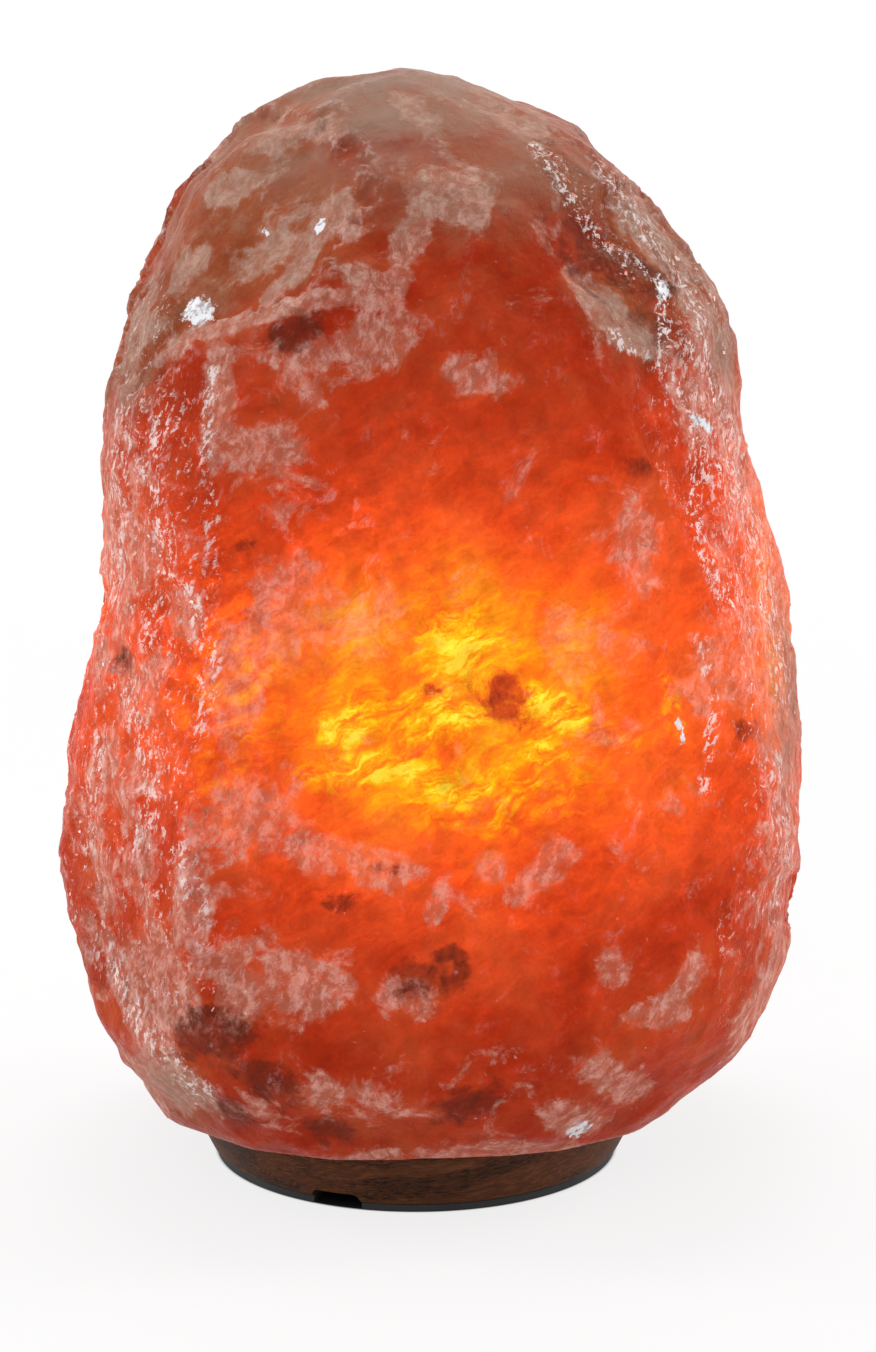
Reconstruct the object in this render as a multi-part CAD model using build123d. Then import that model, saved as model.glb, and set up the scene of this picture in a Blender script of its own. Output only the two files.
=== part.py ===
from build123d import *
import math
import os
import random

# A lit salt crystal lamp: a rough-hewn block of rock salt, bored from below, screwed down on a
# turned wooden base. A lampholder with a candle bulb pushes up through the base into the bore
# and is held there by two sprung wings.
# Millimetres, +Z up, front towards -Y. The origin is on the table, on the axis of the base.

# ------------------------------------------------------------------ driving sizes
# Salt crystal
CRYSTAL_HEIGHT = 282.0
CRYSTAL_REACH_LEFT = 96.5
CRYSTAL_REACH_RIGHT = 105.5
CRYSTAL_REACH_FRONT = 90.0
CRYSTAL_REACH_BACK = 84.0
CRYSTAL_SQUARENESS = 2.8        # 2 is an ellipse in plan, more is squarer
CRYSTAL_HEWING = 1.6            # how far a corner strays from the smooth form
CRYSTAL_APEX_OFFSET = -3.0      # the peak lies a little to the left
CHISEL_DEPTH = 10.0             # of a broad face struck off the smooth form
CRYSTAL_BORE_STEP = 4.0         # the salt's bore is this much wider than the base's all round
CRYSTAL_BORE_ROUND = 6.0
BORE_HEADROOM = 13.0            # above the bulb

# Turned wooden base
BASE_THICKNESS = 18.0
BASE_LOWER_DIAMETER = 112.0
BASE_FLARE = 9.0                # the side leans out this much on its way up
BASE_LOWER_ROUND = 3.0
BASE_UPPER_ROUND = 1.5
BASE_BORE_DIAMETER = 50.0
RECESS_MARGIN = 7.0             # free space round the clip plate
RECESS_DEPTH = 9.5

# Notch in the base's rim, where a flat lead passes out under the lamp
NOTCH_WIDTH = 14.0
NOTCH_HEIGHT = 4.8              # above the table
NOTCH_CORNER = 2.2
NOTCH_AZIMUTH = -112.7          # degrees from +X: front, a little to the left

# Anti-slip pad
PAD_THICKNESS = 2.0
PAD_INSET = 1.0

# Screws that hold the crystal, and the plugs they bite in
SCREW_COUNT = 3
SCREW_DIAMETER = 4.0
SCREW_LENGTH = 36.0
SCREW_HEAD_DIAMETER = 8.0
SCREW_HEAD_HEIGHT = 2.6
SCREW_POINT = 4.0
SCREW_SLOT_WIDTH = 1.2
SCREW_SLOT_DEPTH = 1.4
COUNTERBORE_DIAMETER = 9.6
COUNTERBORE_DEPTH = 7.0
PLUG_DIAMETER = 7.0
PLUG_LENGTH = 28.0
PLUG_SLIT_WIDTH = 1.2
PLUG_COLLAR_DIAMETER = 9.0
PLUG_COLLAR_HEIGHT = 1.0
PLUG_HOLE_SPARE = 1.0           # depth left over past the plug or the screw

# Spring clip: round plate, clamped strip, two wings
PLATE_FLANGE = 6.0              # beyond the base's bore
PLATE_THICKNESS = 1.0
STRIP_WIDTH = 14.0
STRIP_THICKNESS = 0.8
WING_WIDTH = 10.0
WING_THICKNESS = 0.6
WING_LEAN = 2.0                 # the wing's foot lies this far inside its bow
WING_BOW_HEIGHT = 5.8
WING_HEIGHT = 24.0
WING_TIP_INSET = 4.6
WING_TAB_RUN = 2.4
WING_TAB_RISE = 3.6
WING_BEND = 1.6
RIVET_DIAMETER = 3.0
RIVET_HEAD_DIAMETER = 5.0
RIVET_HEAD_HEIGHT = 0.9

# Threaded nipple with its nut and lock washer; the lead enters through its bore
NIPPLE_DIAMETER = 10.0
NIPPLE_BORE_DIAMETER = 8.0
NIPPLE_STAND_OUT = 1.0          # below the nut
NIPPLE_ENGAGEMENT = 7.0         # into the cap
NUT_ACROSS_FLATS = 14.0
NUT_THICKNESS = 3.0
WASHER_DIAMETER = 16.0
WASHER_THICKNESS = 0.8
WASHER_TEETH = 12
WASHER_TOOTH_DEPTH = 1.1
WASHER_TOOTH_WIDTH = 1.6

# Lampholder, in two moulded halves
HOLDER_DIAMETER = 29.0
HOLDER_WALL = 1.8
CAP_HEIGHT = 20.0
CAP_FLOOR = 6.0
CAP_ROUND = 4.5
SPIGOT_HEIGHT = 5.0
SPIGOT_WALL = 1.8
SHELL_LIP = 2.0
SHELL_MOUTH_GAP = 0.5           # round the bulb's collar
SHELL_TOP_ROUND = 1.2
GRIP_COUNT = 20
GRIP_HEIGHT = 11.0
GRIP_WIDTH = 1.6
GRIP_DEPTH = 0.6
GRIP_MARGIN = 2.5

# Porcelain insert and its metal
INSERT_DISC_THICKNESS = 4.0
SLEEVE_WALL = 2.3
CONTACT_SHELL_WALL = 0.5
CONTACT_SHELL_STEP = 2.0        # its rim lies below the porcelain's
CONTACT_SHELL_EYE = 10.4
THREAD_GAP = 0.2                # between the bulb's cap and the contact shell
TONGUE_WIDTH = 4.0
TONGUE_THICKNESS = 0.5
TONGUE_REACH = 7.2
TONGUE_RISE = 1.6
TONGUE_BEND = 0.9
TERMINAL_LENGTH = 6.0
TERMINAL_WIDTH = 5.0
TERMINAL_HEIGHT = 5.0
TERMINAL_SPACING = 13.0
TERMINAL_SCREW_DIAMETER = 3.0
TERMINAL_SCREW_HEAD_DIAMETER = 4.6
TERMINAL_SCREW_HEAD_HEIGHT = 1.6
TERMINAL_SCREW_STAND_OUT = 1.4

# Candle bulb
BULB_LENGTH = 98.0
BULB_DIAMETER = 35.0
BELLY_SHARE = 0.40              # up the glass, where it is widest
SHOULDER_SHARE = 0.80
SHOULDER_WIDTH_SHARE = 0.48     # of its widest there
GLASS_WALL = 0.8
CEMENT_GAP = 0.35               # between the glass neck and the collar
LAMP_CAP_HEIGHT = 25.0
LAMP_CAP_DIAMETER = 13.8
LAMP_CAP_COLLAR_DIAMETER = 17.0
LAMP_CAP_COLLAR_HEIGHT = 6.4
LAMP_CAP_WALL = 0.35
BUTTON_DIAMETER = 4.8
BUTTON_HEIGHT = 1.5
BULB_INSULATOR_HEIGHT = 3.0
STEM_DIAMETER = 5.0
STEM_HEIGHT = 20.0
PINCH_WIDTH = 7.0
PINCH_THICKNESS = 2.6
PINCH_HEIGHT = 7.0
LEAD_DIAMETER = 0.8
FILAMENT_DIAMETER = 0.9
FILAMENT_SPAN = 16.0
FILAMENT_RISE = 3.0
FILAMENT_HEIGHT = 12.0          # of its ends, above the pinch

# Clearances
SEAT_GAP = 0.3                  # plate under the recess, wing to wall, bulb to holder
SLIP = 0.1                      # between fixed pieces that slide together in assembly
CUT_PAST = 1.0                  # how far a cut runs on past the face that it opens
STRAY_SEED = 11

# ------------------------------------------------------------------ levels worked out from them
base_bottom_z = PAD_THICKNESS
base_top_z = base_bottom_z + BASE_THICKNESS
recess_ceiling_z = base_bottom_z + RECESS_DEPTH
plate_top_z = recess_ceiling_z - SEAT_GAP
plate_bottom_z = plate_top_z - PLATE_THICKNESS
strip_top_z = plate_top_z + STRIP_THICKNESS
washer_bottom_z = plate_bottom_z - WASHER_THICKNESS
nut_bottom_z = washer_bottom_z - NUT_THICKNESS
nipple_bottom_z = nut_bottom_z - NIPPLE_STAND_OUT
nipple_top_z = strip_top_z + NIPPLE_ENGAGEMENT
cap_top_z = strip_top_z + CAP_HEIGHT
spigot_top_z = cap_top_z + SPIGOT_HEIGHT
disc_top_z = spigot_top_z + INSERT_DISC_THICKNESS
tongue_root_z = disc_top_z + SEAT_GAP + TONGUE_THICKNESS / 2
tongue_crest_z = tongue_root_z + TONGUE_RISE
bulb_bottom_z = tongue_crest_z + TONGUE_THICKNESS / 2 + SEAT_GAP
lamp_cap_top_z = bulb_bottom_z + LAMP_CAP_HEIGHT
collar_bottom_z = lamp_cap_top_z - LAMP_CAP_COLLAR_HEIGHT
glass_foot_z = collar_bottom_z + LAMP_CAP_COLLAR_HEIGHT / 2
sleeve_top_z = collar_bottom_z - SEAT_GAP
shell_top_z = sleeve_top_z + SHELL_LIP
bulb_top_z = bulb_bottom_z + BULB_LENGTH
stem_top_z = lamp_cap_top_z + STEM_HEIGHT
pinch_top_z = stem_top_z + PINCH_HEIGHT
filament_end_z = pinch_top_z + FILAMENT_HEIGHT
bore_top_z = bulb_top_z + BORE_HEADROOM
crystal_top_z = base_top_z + CRYSTAL_HEIGHT
screw_seat_z = base_bottom_z + COUNTERBORE_DEPTH
screw_tip_z = screw_seat_z + SCREW_LENGTH
plug_top_z = base_top_z + PLUG_LENGTH
plug_hole_top_z = max(plug_top_z, screw_tip_z) + PLUG_HOLE_SPARE

# ------------------------------------------------------------------ radii worked out from them
base_lower_radius = BASE_LOWER_DIAMETER / 2
base_upper_radius = base_lower_radius + BASE_FLARE
base_bore_radius = BASE_BORE_DIAMETER / 2
crystal_bore_radius = base_bore_radius + CRYSTAL_BORE_STEP
plate_radius = base_bore_radius + PLATE_FLANGE
recess_radius = plate_radius + RECESS_MARGIN
screw_circle_radius = (recess_radius + base_lower_radius) / 2
holder_radius = HOLDER_DIAMETER / 2
holder_bore_radius = holder_radius - HOLDER_WALL
thread_radius = LAMP_CAP_DIAMETER / 2
collar_radius = LAMP_CAP_COLLAR_DIAMETER / 2
shell_mouth_radius = collar_radius + SHELL_MOUTH_GAP
contact_shell_radius = thread_radius + THREAD_GAP + CONTACT_SHELL_WALL
sleeve_bore_radius = contact_shell_radius + SEAT_GAP
sleeve_radius = sleeve_bore_radius + SLEEVE_WALL
glass_neck_radius = collar_radius - LAMP_CAP_WALL - CEMENT_GAP
nipple_hole_radius = NIPPLE_DIAMETER / 2 + SLIP

# ------------------------------------------------------------------ shape of the crystal
# Stations up the crystal: height, then left, right, front and back reach, each as a share of
# the crystal's own height or of its largest reach on that side.
CRYSTAL_STATIONS = (
    (0.00, 0.74, 0.66, 0.78, 0.79),
    (0.05, 0.84, 0.81, 0.90, 0.91),
    (0.12, 0.94, 0.95, 0.99, 0.99),
    (0.24, 0.99, 0.98, 1.00, 1.00),
    (0.36, 0.95, 1.01, 0.97, 0.98),
    (0.50, 0.855, 0.955, 0.92, 0.93),
    (0.64, 0.87, 0.845, 0.86, 0.86),
    (0.77, 0.79, 0.80, 0.76, 0.76),
    (0.86, 0.66, 0.67, 0.63, 0.63),
    (0.94, 0.47, 0.40, 0.45, 0.44),
    (0.985, 0.21, 0.12, 0.22, 0.20),
)
RING_HEIGHTS = (0.0, 0.03, 0.07, 0.12, 0.18, 0.25, 0.32, 0.40, 0.48, 0.56, 0.64, 0.71, 0.78, 0.84, 0.89,
                0.94, 0.98)
RING_COLUMNS = 26

# Broad faces struck off with the chisel: azimuth and upward tilt of the face in degrees, and
# the thickness of salt struck off as a share of CHISEL_DEPTH.
CHISEL_FACES = (
    (-92.0, 6.0, 1.1),      # broad front
    (-146.0, 3.0, 0.8),     # left of the front ridge
    (-62.0, 5.0, 0.45),     # right half of the front
    (-14.0, 10.0, 0.8),     # right of the front ridge
    (-126.0, 38.0, 0.8),    # upper left
    (-48.0, 40.0, 0.7),     # upper right
    (-80.0, 62.0, 0.5),     # brow over the front
    (-135.0, -40.0, 0.25),  # lower left
    (-55.0, -36.0, 0.5),    # lower right
    (28.0, 6.0, 0.6),
    (72.0, 10.0, 0.8),
    (124.0, 4.0, 0.8),
    (165.0, -20.0, 0.4),
    (100.0, 44.0, 0.7),
    (15.0, 40.0, 0.5),
    (80.0, -35.0, 0.5),
)


ON_FLOOR = (Align.CENTER, Align.CENTER, Align.MIN)


def polar(radius, azimuth, z):
    """Point at a radius and an azimuth in degrees."""
    angle = math.radians(azimuth)
    return Vector(radius * math.cos(angle), radius * math.sin(angle), z)


def station_value(height, column):
    """Reach share at a height share, on a smooth curve through the stations."""
    last = len(CRYSTAL_STATIONS) - 1
    low = max(i for i, row in enumerate(CRYSTAL_STATIONS[:-1]) if row[0] <= height)
    rows = [CRYSTAL_STATIONS[min(max(low + k, 0), last)] for k in (-1, 0, 1, 2)]
    before, start, end, after = rows
    span = end[0] - start[0]
    slope_in = (end[column] - before[column]) / (end[0] - before[0]) * span
    slope_out = (after[column] - start[column]) / (after[0] - start[0]) * span
    t = min((height - start[0]) / span, 1.0)
    return (
        (2 * t**3 - 3 * t**2 + 1) * start[column]
        + (t**3 - 2 * t**2 + t) * slope_in
        + (3 * t**2 - 2 * t**3) * end[column]
        + (t**3 - t**2) * slope_out
    )


def crystal_radius(height, azimuth):
    """Plan radius of the smooth form at a height share."""
    c = math.cos(math.radians(azimuth))
    s = math.sin(math.radians(azimuth))
    if c > 0:
        across = CRYSTAL_REACH_RIGHT * station_value(height, 2)
    else:
        across = CRYSTAL_REACH_LEFT * station_value(height, 1)
    if s > 0:
        along = CRYSTAL_REACH_BACK * station_value(height, 4)
    else:
        along = CRYSTAL_REACH_FRONT * station_value(height, 3)
    power = CRYSTAL_SQUARENESS
    return (abs(c / across) ** power + abs(s / along) ** power) ** (-1 / power)


def crystal_rings():
    """Rings of corners up the crystal, each corner strayed a little as hewn salt is."""
    stray = random.Random(STRAY_SEED)
    pitch = 360.0 / RING_COLUMNS
    rings = []
    for index, height in enumerate(RING_HEIGHTS):
        ring = []
        for column in range(RING_COLUMNS):
            azimuth = (column + 0.5 * (index % 2) + 0.25 * stray.uniform(-1, 1)) * pitch
            radius = crystal_radius(height, azimuth) + CRYSTAL_HEWING * stray.uniform(-1, 1)
            rise = 0.0 if index == 0 else 2 * CRYSTAL_HEWING * stray.uniform(-1, 1) * min(1, 4 * height)
            lean = Vector(CRYSTAL_APEX_OFFSET * height**3, 0, 0)
            ring.append(polar(radius, azimuth, base_top_z + CRYSTAL_HEIGHT * height + rise) + lean)
        rings.append(ring)
    return rings


def facet(*corners):
    """Flat face between corners."""
    return Face(Wire.make_polygon(list(corners), close=True))


def crystal_block():
    """Solid of flat triangular facets between the rings, closed by a seat below and a peak."""
    rings = crystal_rings()
    peak = Vector(CRYSTAL_APEX_OFFSET, 0, crystal_top_z)
    faces = [facet(*reversed(rings[0]))]
    for index, (low, high) in enumerate(zip(rings, rings[1:])):
        for column in range(RING_COLUMNS):
            after = (column + 1) % RING_COLUMNS
            if index % 2 == 0:
                faces.append(facet(low[column], low[after], high[column]))
                faces.append(facet(low[after], high[after], high[column]))
            else:
                faces.append(facet(low[column], low[after], high[after]))
                faces.append(facet(low[column], high[after], high[column]))
    top = rings[-1]
    faces += [facet(top[k], top[(k + 1) % RING_COLUMNS], peak) for k in range(RING_COLUMNS)]
    corners = [corner for ring in rings for corner in ring] + [peak]
    return Solid(Shell(faces)), corners


def strike_face(block, corners, azimuth, tilt, share):
    """Takes one broad flat face off the block."""
    level = polar(math.cos(math.radians(tilt)), azimuth, math.sin(math.radians(tilt)))
    reach = max(level.dot(corner) for corner in corners)
    plane = Plane(origin=level * (reach - share * CHISEL_DEPTH), z_dir=level)
    return split(block, bisect_by=plane, keep=Keep.BOTTOM)


def screw_places():
    """The places of the base's screws, clear of the notch."""
    step = 360.0 / SCREW_COUNT
    start = NOTCH_AZIMUTH + step / 2
    return [polar(screw_circle_radius, start + step * k, 0) for k in range(SCREW_COUNT)]


def upright(radius, bottom, top, place=Vector(0, 0, 0)):
    """Upright round bar between two levels."""
    bar = Cylinder(radius, top - bottom, align=ON_FLOOR)
    return Pos(place.X, place.Y, bottom) * bar


def ring_edges(solid, z):
    """Round edges of a solid that lie at a level."""
    return solid.edges().filter_by(GeomType.CIRCLE).filter_by_position(Axis.Z, z - 0.01, z + 0.01)


def lathe(outline):
    """Turns a closed outline of (radius, z) points about the lamp's axis."""
    points = [(radius, 0, z) for radius, z in outline]
    return revolve(Face(Wire.make_polygon(points, close=True)), Axis.Z, 360)


def salt_crystal():
    block, corners = crystal_block()
    for azimuth, tilt, share in CHISEL_FACES:
        block = strike_face(block, corners, azimuth, tilt, share)
    bore = upright(crystal_bore_radius, base_top_z - CUT_PAST, bore_top_z)
    block -= fillet(ring_edges(bore, bore_top_z), CRYSTAL_BORE_ROUND)
    collar_top_z = base_top_z + PLUG_COLLAR_HEIGHT
    for place in screw_places():
        block -= upright(PLUG_DIAMETER / 2 + SLIP, base_top_z - CUT_PAST, plug_hole_top_z, place)
        block -= upright(PLUG_COLLAR_DIAMETER / 2 + SLIP, base_top_z - CUT_PAST, collar_top_z, place)
    return block


def notch_tunnel():
    """The space of the notch, from the axis out past the rim, round in its upper corners."""
    height = NOTCH_HEIGHT + CUT_PAST
    face = Rectangle(NOTCH_WIDTH, height)
    face = fillet(face.vertices().sort_by(Axis.Y)[-2:], NOTCH_CORNER)
    face = Pos(0, NOTCH_HEIGHT - height / 2) * face
    outward = polar(1, NOTCH_AZIMUTH, 0)
    plane = Plane(origin=(0, 0, 0), x_dir=outward.cross(Vector(0, 0, 1)) * -1, z_dir=outward)
    return extrude(plane * face, 2 * base_upper_radius)


def wood_base():
    blank = Cone(base_lower_radius, base_upper_radius, BASE_THICKNESS, align=ON_FLOOR)
    blank = Pos(0, 0, base_bottom_z) * blank
    blank = fillet(ring_edges(blank, base_bottom_z), BASE_LOWER_ROUND)
    blank = fillet(ring_edges(blank, base_top_z), BASE_UPPER_ROUND)
    blank -= upright(base_bore_radius, base_bottom_z - CUT_PAST, base_top_z + CUT_PAST)
    blank -= upright(recess_radius, base_bottom_z - CUT_PAST, recess_ceiling_z)
    for place in screw_places():
        blank -= upright(SCREW_DIAMETER / 2 + SLIP, base_bottom_z, base_top_z + CUT_PAST, place)
        blank -= upright(COUNTERBORE_DIAMETER / 2, base_bottom_z - CUT_PAST, screw_seat_z, place)
    return blank - notch_tunnel()


def base_pad():
    ring = upright(base_lower_radius - PAD_INSET, 0, PAD_THICKNESS)
    ring -= upright(recess_radius + PAD_INSET, -CUT_PAST, PAD_THICKNESS + CUT_PAST)
    return ring - notch_tunnel()


def base_screw(place):
    """Pan-head wood screw, point up, with a cross in its head."""
    head = upright(SCREW_HEAD_DIAMETER / 2, screw_seat_z - SCREW_HEAD_HEIGHT, screw_seat_z)
    head = fillet(ring_edges(head, screw_seat_z - SCREW_HEAD_HEIGHT), SCREW_HEAD_HEIGHT / 2)
    shank_top = screw_tip_z - SCREW_POINT
    shank = upright(SCREW_DIAMETER / 2, screw_seat_z, shank_top)
    point = Cone(SCREW_DIAMETER / 2, SCREW_DIAMETER / 10, SCREW_POINT, align=ON_FLOOR)
    body = head + shank + Pos(0, 0, shank_top) * point
    slot_z = screw_seat_z - SCREW_HEAD_HEIGHT + SCREW_SLOT_DEPTH / 2
    for turn in (0, 90):
        slot = Box(SCREW_HEAD_DIAMETER * 0.6, SCREW_SLOT_WIDTH, SCREW_SLOT_DEPTH)
        body -= Pos(0, 0, slot_z) * Rot(0, 0, turn) * slot
    return Pos(place.X, place.Y, 0) * body


def base_screws():
    return Compound([base_screw(place).solid() for place in screw_places()])


def wall_plug(place):
    """Ribbed plastic plug in the salt, bored for its screw."""
    body = upright(PLUG_DIAMETER / 2, base_top_z, plug_top_z)
    body += upright(PLUG_COLLAR_DIAMETER / 2, base_top_z, base_top_z + PLUG_COLLAR_HEIGHT)
    body -= upright(SCREW_DIAMETER / 2 + SLIP, base_top_z - CUT_PAST, plug_top_z + CUT_PAST)
    slit = Box(PLUG_DIAMETER * 2, PLUG_SLIT_WIDTH, PLUG_LENGTH, align=ON_FLOOR)
    body -= Pos(0, 0, plug_top_z - PLUG_LENGTH / 2) * slit
    return Pos(place.X, place.Y, 0) * body


def wall_plugs():
    return Compound([solid for place in screw_places() for solid in wall_plug(place).solids()])


def wing_bow_x():
    """How far out the middle of a wing's bow may stand in the round bore."""
    wall = base_bore_radius - SEAT_GAP
    return math.sqrt(wall**2 - (WING_WIDTH / 2) ** 2) - WING_THICKNESS / 2


def wing_foot():
    """Flex line of a wing, in the plane across the strip."""
    return wing_bow_x() - WING_LEAN, plate_top_z + STRIP_THICKNESS / 2


def strip_hole_x():
    return (holder_radius + wing_foot()[0]) / 2


def clip_plate():
    plate = upright(plate_radius, plate_bottom_z, plate_top_z)
    plate -= upright(nipple_hole_radius, plate_bottom_z - CUT_PAST, plate_top_z + CUT_PAST)
    for side in (-1, 1):
        place = Vector(side * strip_hole_x(), 0, 0)
        plate -= upright(RIVET_DIAMETER / 2 + SLIP, plate_bottom_z - CUT_PAST, plate_top_z + CUT_PAST, place)
    return fillet(ring_edges(plate, plate_bottom_z).sort_by(SortBy.RADIUS)[-1], PLATE_THICKNESS / 2)


def clip_strip():
    length = 2 * (wing_foot()[0] - WING_THICKNESS / 2 - SEAT_GAP)
    strip = Pos(0, 0, plate_top_z + STRIP_THICKNESS / 2) * Box(length, STRIP_WIDTH, STRIP_THICKNESS)
    strip -= upright(nipple_hole_radius, plate_top_z - CUT_PAST, strip_top_z + CUT_PAST)
    for side in (-1, 1):
        place = Vector(side * strip_hole_x(), 0, 0)
        strip -= upright(RIVET_DIAMETER / 2 + SLIP, plate_top_z - CUT_PAST, strip_top_z + CUT_PAST, place)
    return strip


def clip_rivets():
    foot_z = plate_bottom_z - RIVET_HEAD_HEIGHT
    crown_z = strip_top_z + RIVET_HEAD_HEIGHT
    rivets = []
    for side in (-1, 1):
        place = Vector(side * strip_hole_x(), 0, 0)
        rivet = upright(RIVET_DIAMETER / 2, foot_z, crown_z, place)
        rivet += upright(RIVET_HEAD_DIAMETER / 2, foot_z, plate_bottom_z, place)
        rivet += upright(RIVET_HEAD_DIAMETER / 2, strip_top_z, crown_z, place)
        rivets.append(rivet.solid())
    return Compound(rivets)


def bent_strip(path, width, thickness):
    """Flat strip that follows a path in the XZ plane."""
    section = Plane(origin=path @ 0, x_dir=(0, 1, 0), z_dir=path % 0) * Rectangle(width, thickness)
    return sweep(section, path)


def spring_wing(side):
    """Bent leaf: out to its bow on the bore's wall, in above it, with a finger tab at the tip."""
    bow_x = wing_bow_x()
    foot_x, foot_z = wing_foot()
    tip_x = bow_x - WING_TIP_INSET
    tip_z = foot_z + WING_HEIGHT - WING_TAB_RISE
    path = FilletPolyline(
        (foot_x, 0, foot_z),
        (bow_x, 0, foot_z + WING_BOW_HEIGHT),
        (tip_x, 0, tip_z),
        (tip_x + WING_TAB_RUN, 0, foot_z + WING_HEIGHT),
        radius=WING_BEND,
    )
    leaf = bent_strip(path, WING_WIDTH, WING_THICKNESS)
    return leaf if side > 0 else Rot(0, 0, 180) * leaf


def cord_nipple():
    tube = upright(NIPPLE_DIAMETER / 2, nipple_bottom_z, nipple_top_z)
    return tube - upright(NIPPLE_BORE_DIAMETER / 2, nipple_bottom_z - CUT_PAST, nipple_top_z + CUT_PAST)


def nipple_nut():
    sketch = Pos(0, 0, nut_bottom_z) * RegularPolygon(NUT_ACROSS_FLATS / 2, 6, major_radius=False)
    hole = upright(nipple_hole_radius, nut_bottom_z - CUT_PAST, washer_bottom_z + CUT_PAST)
    return extrude(sketch, NUT_THICKNESS) - hole


def lock_washer():
    washer = upright(WASHER_DIAMETER / 2, washer_bottom_z, plate_bottom_z)
    washer -= upright(nipple_hole_radius, washer_bottom_z - CUT_PAST, plate_bottom_z + CUT_PAST)
    gap = Box(2 * WASHER_TOOTH_DEPTH, WASHER_TOOTH_WIDTH, 3 * WASHER_THICKNESS)
    for tooth in range(WASHER_TEETH):
        turn = Rot(0, 0, 360 / WASHER_TEETH * tooth)
        washer -= turn * Pos(WASHER_DIAMETER / 2, 0, washer_bottom_z) * gap
    return washer


def holder_cap():
    """Lower half: a domed cup on the nipple, with a spigot that the upper half screws on."""
    cap = upright(holder_radius, strip_top_z, cap_top_z)
    cap = fillet(ring_edges(cap, strip_top_z), CAP_ROUND)
    spigot_radius = holder_bore_radius - SLIP
    cap += upright(spigot_radius, cap_top_z, spigot_top_z)
    cap -= upright(spigot_radius - SPIGOT_WALL, strip_top_z + CAP_FLOOR, spigot_top_z + CUT_PAST)
    return cap - upright(nipple_hole_radius, strip_top_z - CUT_PAST, strip_top_z + CAP_FLOOR + CUT_PAST)


def holder_shell():
    """Upper half: a tube with a lip over the porcelain and flutes to grip it by."""
    shell = upright(holder_radius, cap_top_z, shell_top_z)
    shell = fillet(ring_edges(shell, shell_top_z), SHELL_TOP_ROUND)
    shell -= upright(holder_bore_radius, cap_top_z - CUT_PAST, sleeve_top_z)
    shell -= upright(shell_mouth_radius, cap_top_z, shell_top_z + CUT_PAST)
    flute = Box(2 * GRIP_DEPTH, GRIP_WIDTH, GRIP_HEIGHT, align=ON_FLOOR)
    flute = Pos(holder_radius, 0, cap_top_z + GRIP_MARGIN) * flute
    for grip in range(GRIP_COUNT):
        shell -= Rot(0, 0, 360 / GRIP_COUNT * grip) * flute
    return shell


def porcelain_insert():
    """Disc that carries the contacts, with the sleeve that insulates the threaded shell."""
    body = upright(holder_bore_radius - SLIP, spigot_top_z, disc_top_z)
    body += upright(sleeve_radius, disc_top_z, sleeve_top_z)
    return body - upright(sleeve_bore_radius, disc_top_z, sleeve_top_z + CUT_PAST)


def contact_shell():
    """Threaded brass shell that takes the bulb, open at its foot round the centre contact."""
    top = sleeve_top_z - CONTACT_SHELL_STEP
    floor_z = disc_top_z + CONTACT_SHELL_WALL
    shell = upright(contact_shell_radius, disc_top_z, top)
    shell -= upright(contact_shell_radius - CONTACT_SHELL_WALL, floor_z, top + CUT_PAST)
    return shell - upright(CONTACT_SHELL_EYE / 2, disc_top_z - CUT_PAST, top + CUT_PAST)


def contact_tongue():
    root_x = -TONGUE_REACH / 2
    knee_x = root_x + TONGUE_REACH * 0.55
    path = FilletPolyline(
        (root_x, 0, tongue_root_z),
        (knee_x, 0, tongue_crest_z),
        (root_x + TONGUE_REACH, 0, tongue_crest_z),
        radius=TONGUE_BEND,
    )
    return bent_strip(path, TONGUE_WIDTH, TONGUE_THICKNESS)


def terminal_places():
    return [Vector(0, side * TERMINAL_SPACING / 2, 0) for side in (-1, 1)]


def terminals():
    """Two brass clamps under the disc, one for each conductor, drilled for wire and screw."""
    low = spigot_top_z - TERMINAL_HEIGHT
    blocks = []
    for place in terminal_places():
        block = Box(TERMINAL_LENGTH, TERMINAL_WIDTH, TERMINAL_HEIGHT, align=ON_FLOOR)
        block = Pos(place.X, place.Y, low) * block
        block -= upright(TERMINAL_SCREW_DIAMETER / 2 + SLIP, low - CUT_PAST, spigot_top_z - CUT_PAST, place)
        blocks.append(block.solid())
    return Compound(blocks)


def terminal_screws():
    low = spigot_top_z - TERMINAL_HEIGHT - TERMINAL_SCREW_STAND_OUT
    screws = []
    for place in terminal_places():
        screw = upright(TERMINAL_SCREW_DIAMETER / 2, low, spigot_top_z - TERMINAL_SCREW_STAND_OUT, place)
        screw += upright(TERMINAL_SCREW_HEAD_DIAMETER / 2, low - TERMINAL_SCREW_HEAD_HEIGHT, low, place)
        slot = Box(TERMINAL_SCREW_HEAD_DIAMETER * 2, SCREW_SLOT_WIDTH / 2, TERMINAL_SCREW_HEAD_HEIGHT)
        screw -= Pos(place.X, place.Y, low - TERMINAL_SCREW_HEAD_HEIGHT) * slot
        screws.append(screw.solid())
    return Compound(screws)


def bulb_outline(wall):
    """Outline of the candle bulb from neck to tip, drawn in by a wall."""
    rise = BULB_LENGTH - LAMP_CAP_HEIGHT
    neck = (glass_neck_radius - wall, 0, lamp_cap_top_z)
    belly = (BULB_DIAMETER / 2 - wall, 0, lamp_cap_top_z + BELLY_SHARE * rise)
    shoulder = (SHOULDER_WIDTH_SHARE * belly[0], 0, lamp_cap_top_z + SHOULDER_SHARE * rise)
    tip = (0, 0, bulb_top_z - wall)
    lower = Spline(neck, belly, tangents=((0.15, 0, 1), (0, 0, 1)))
    upper = Spline(belly, shoulder, tip, tangents=((0, 0, 1), (-1, 0, 0)))
    return [lower, upper]


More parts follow.
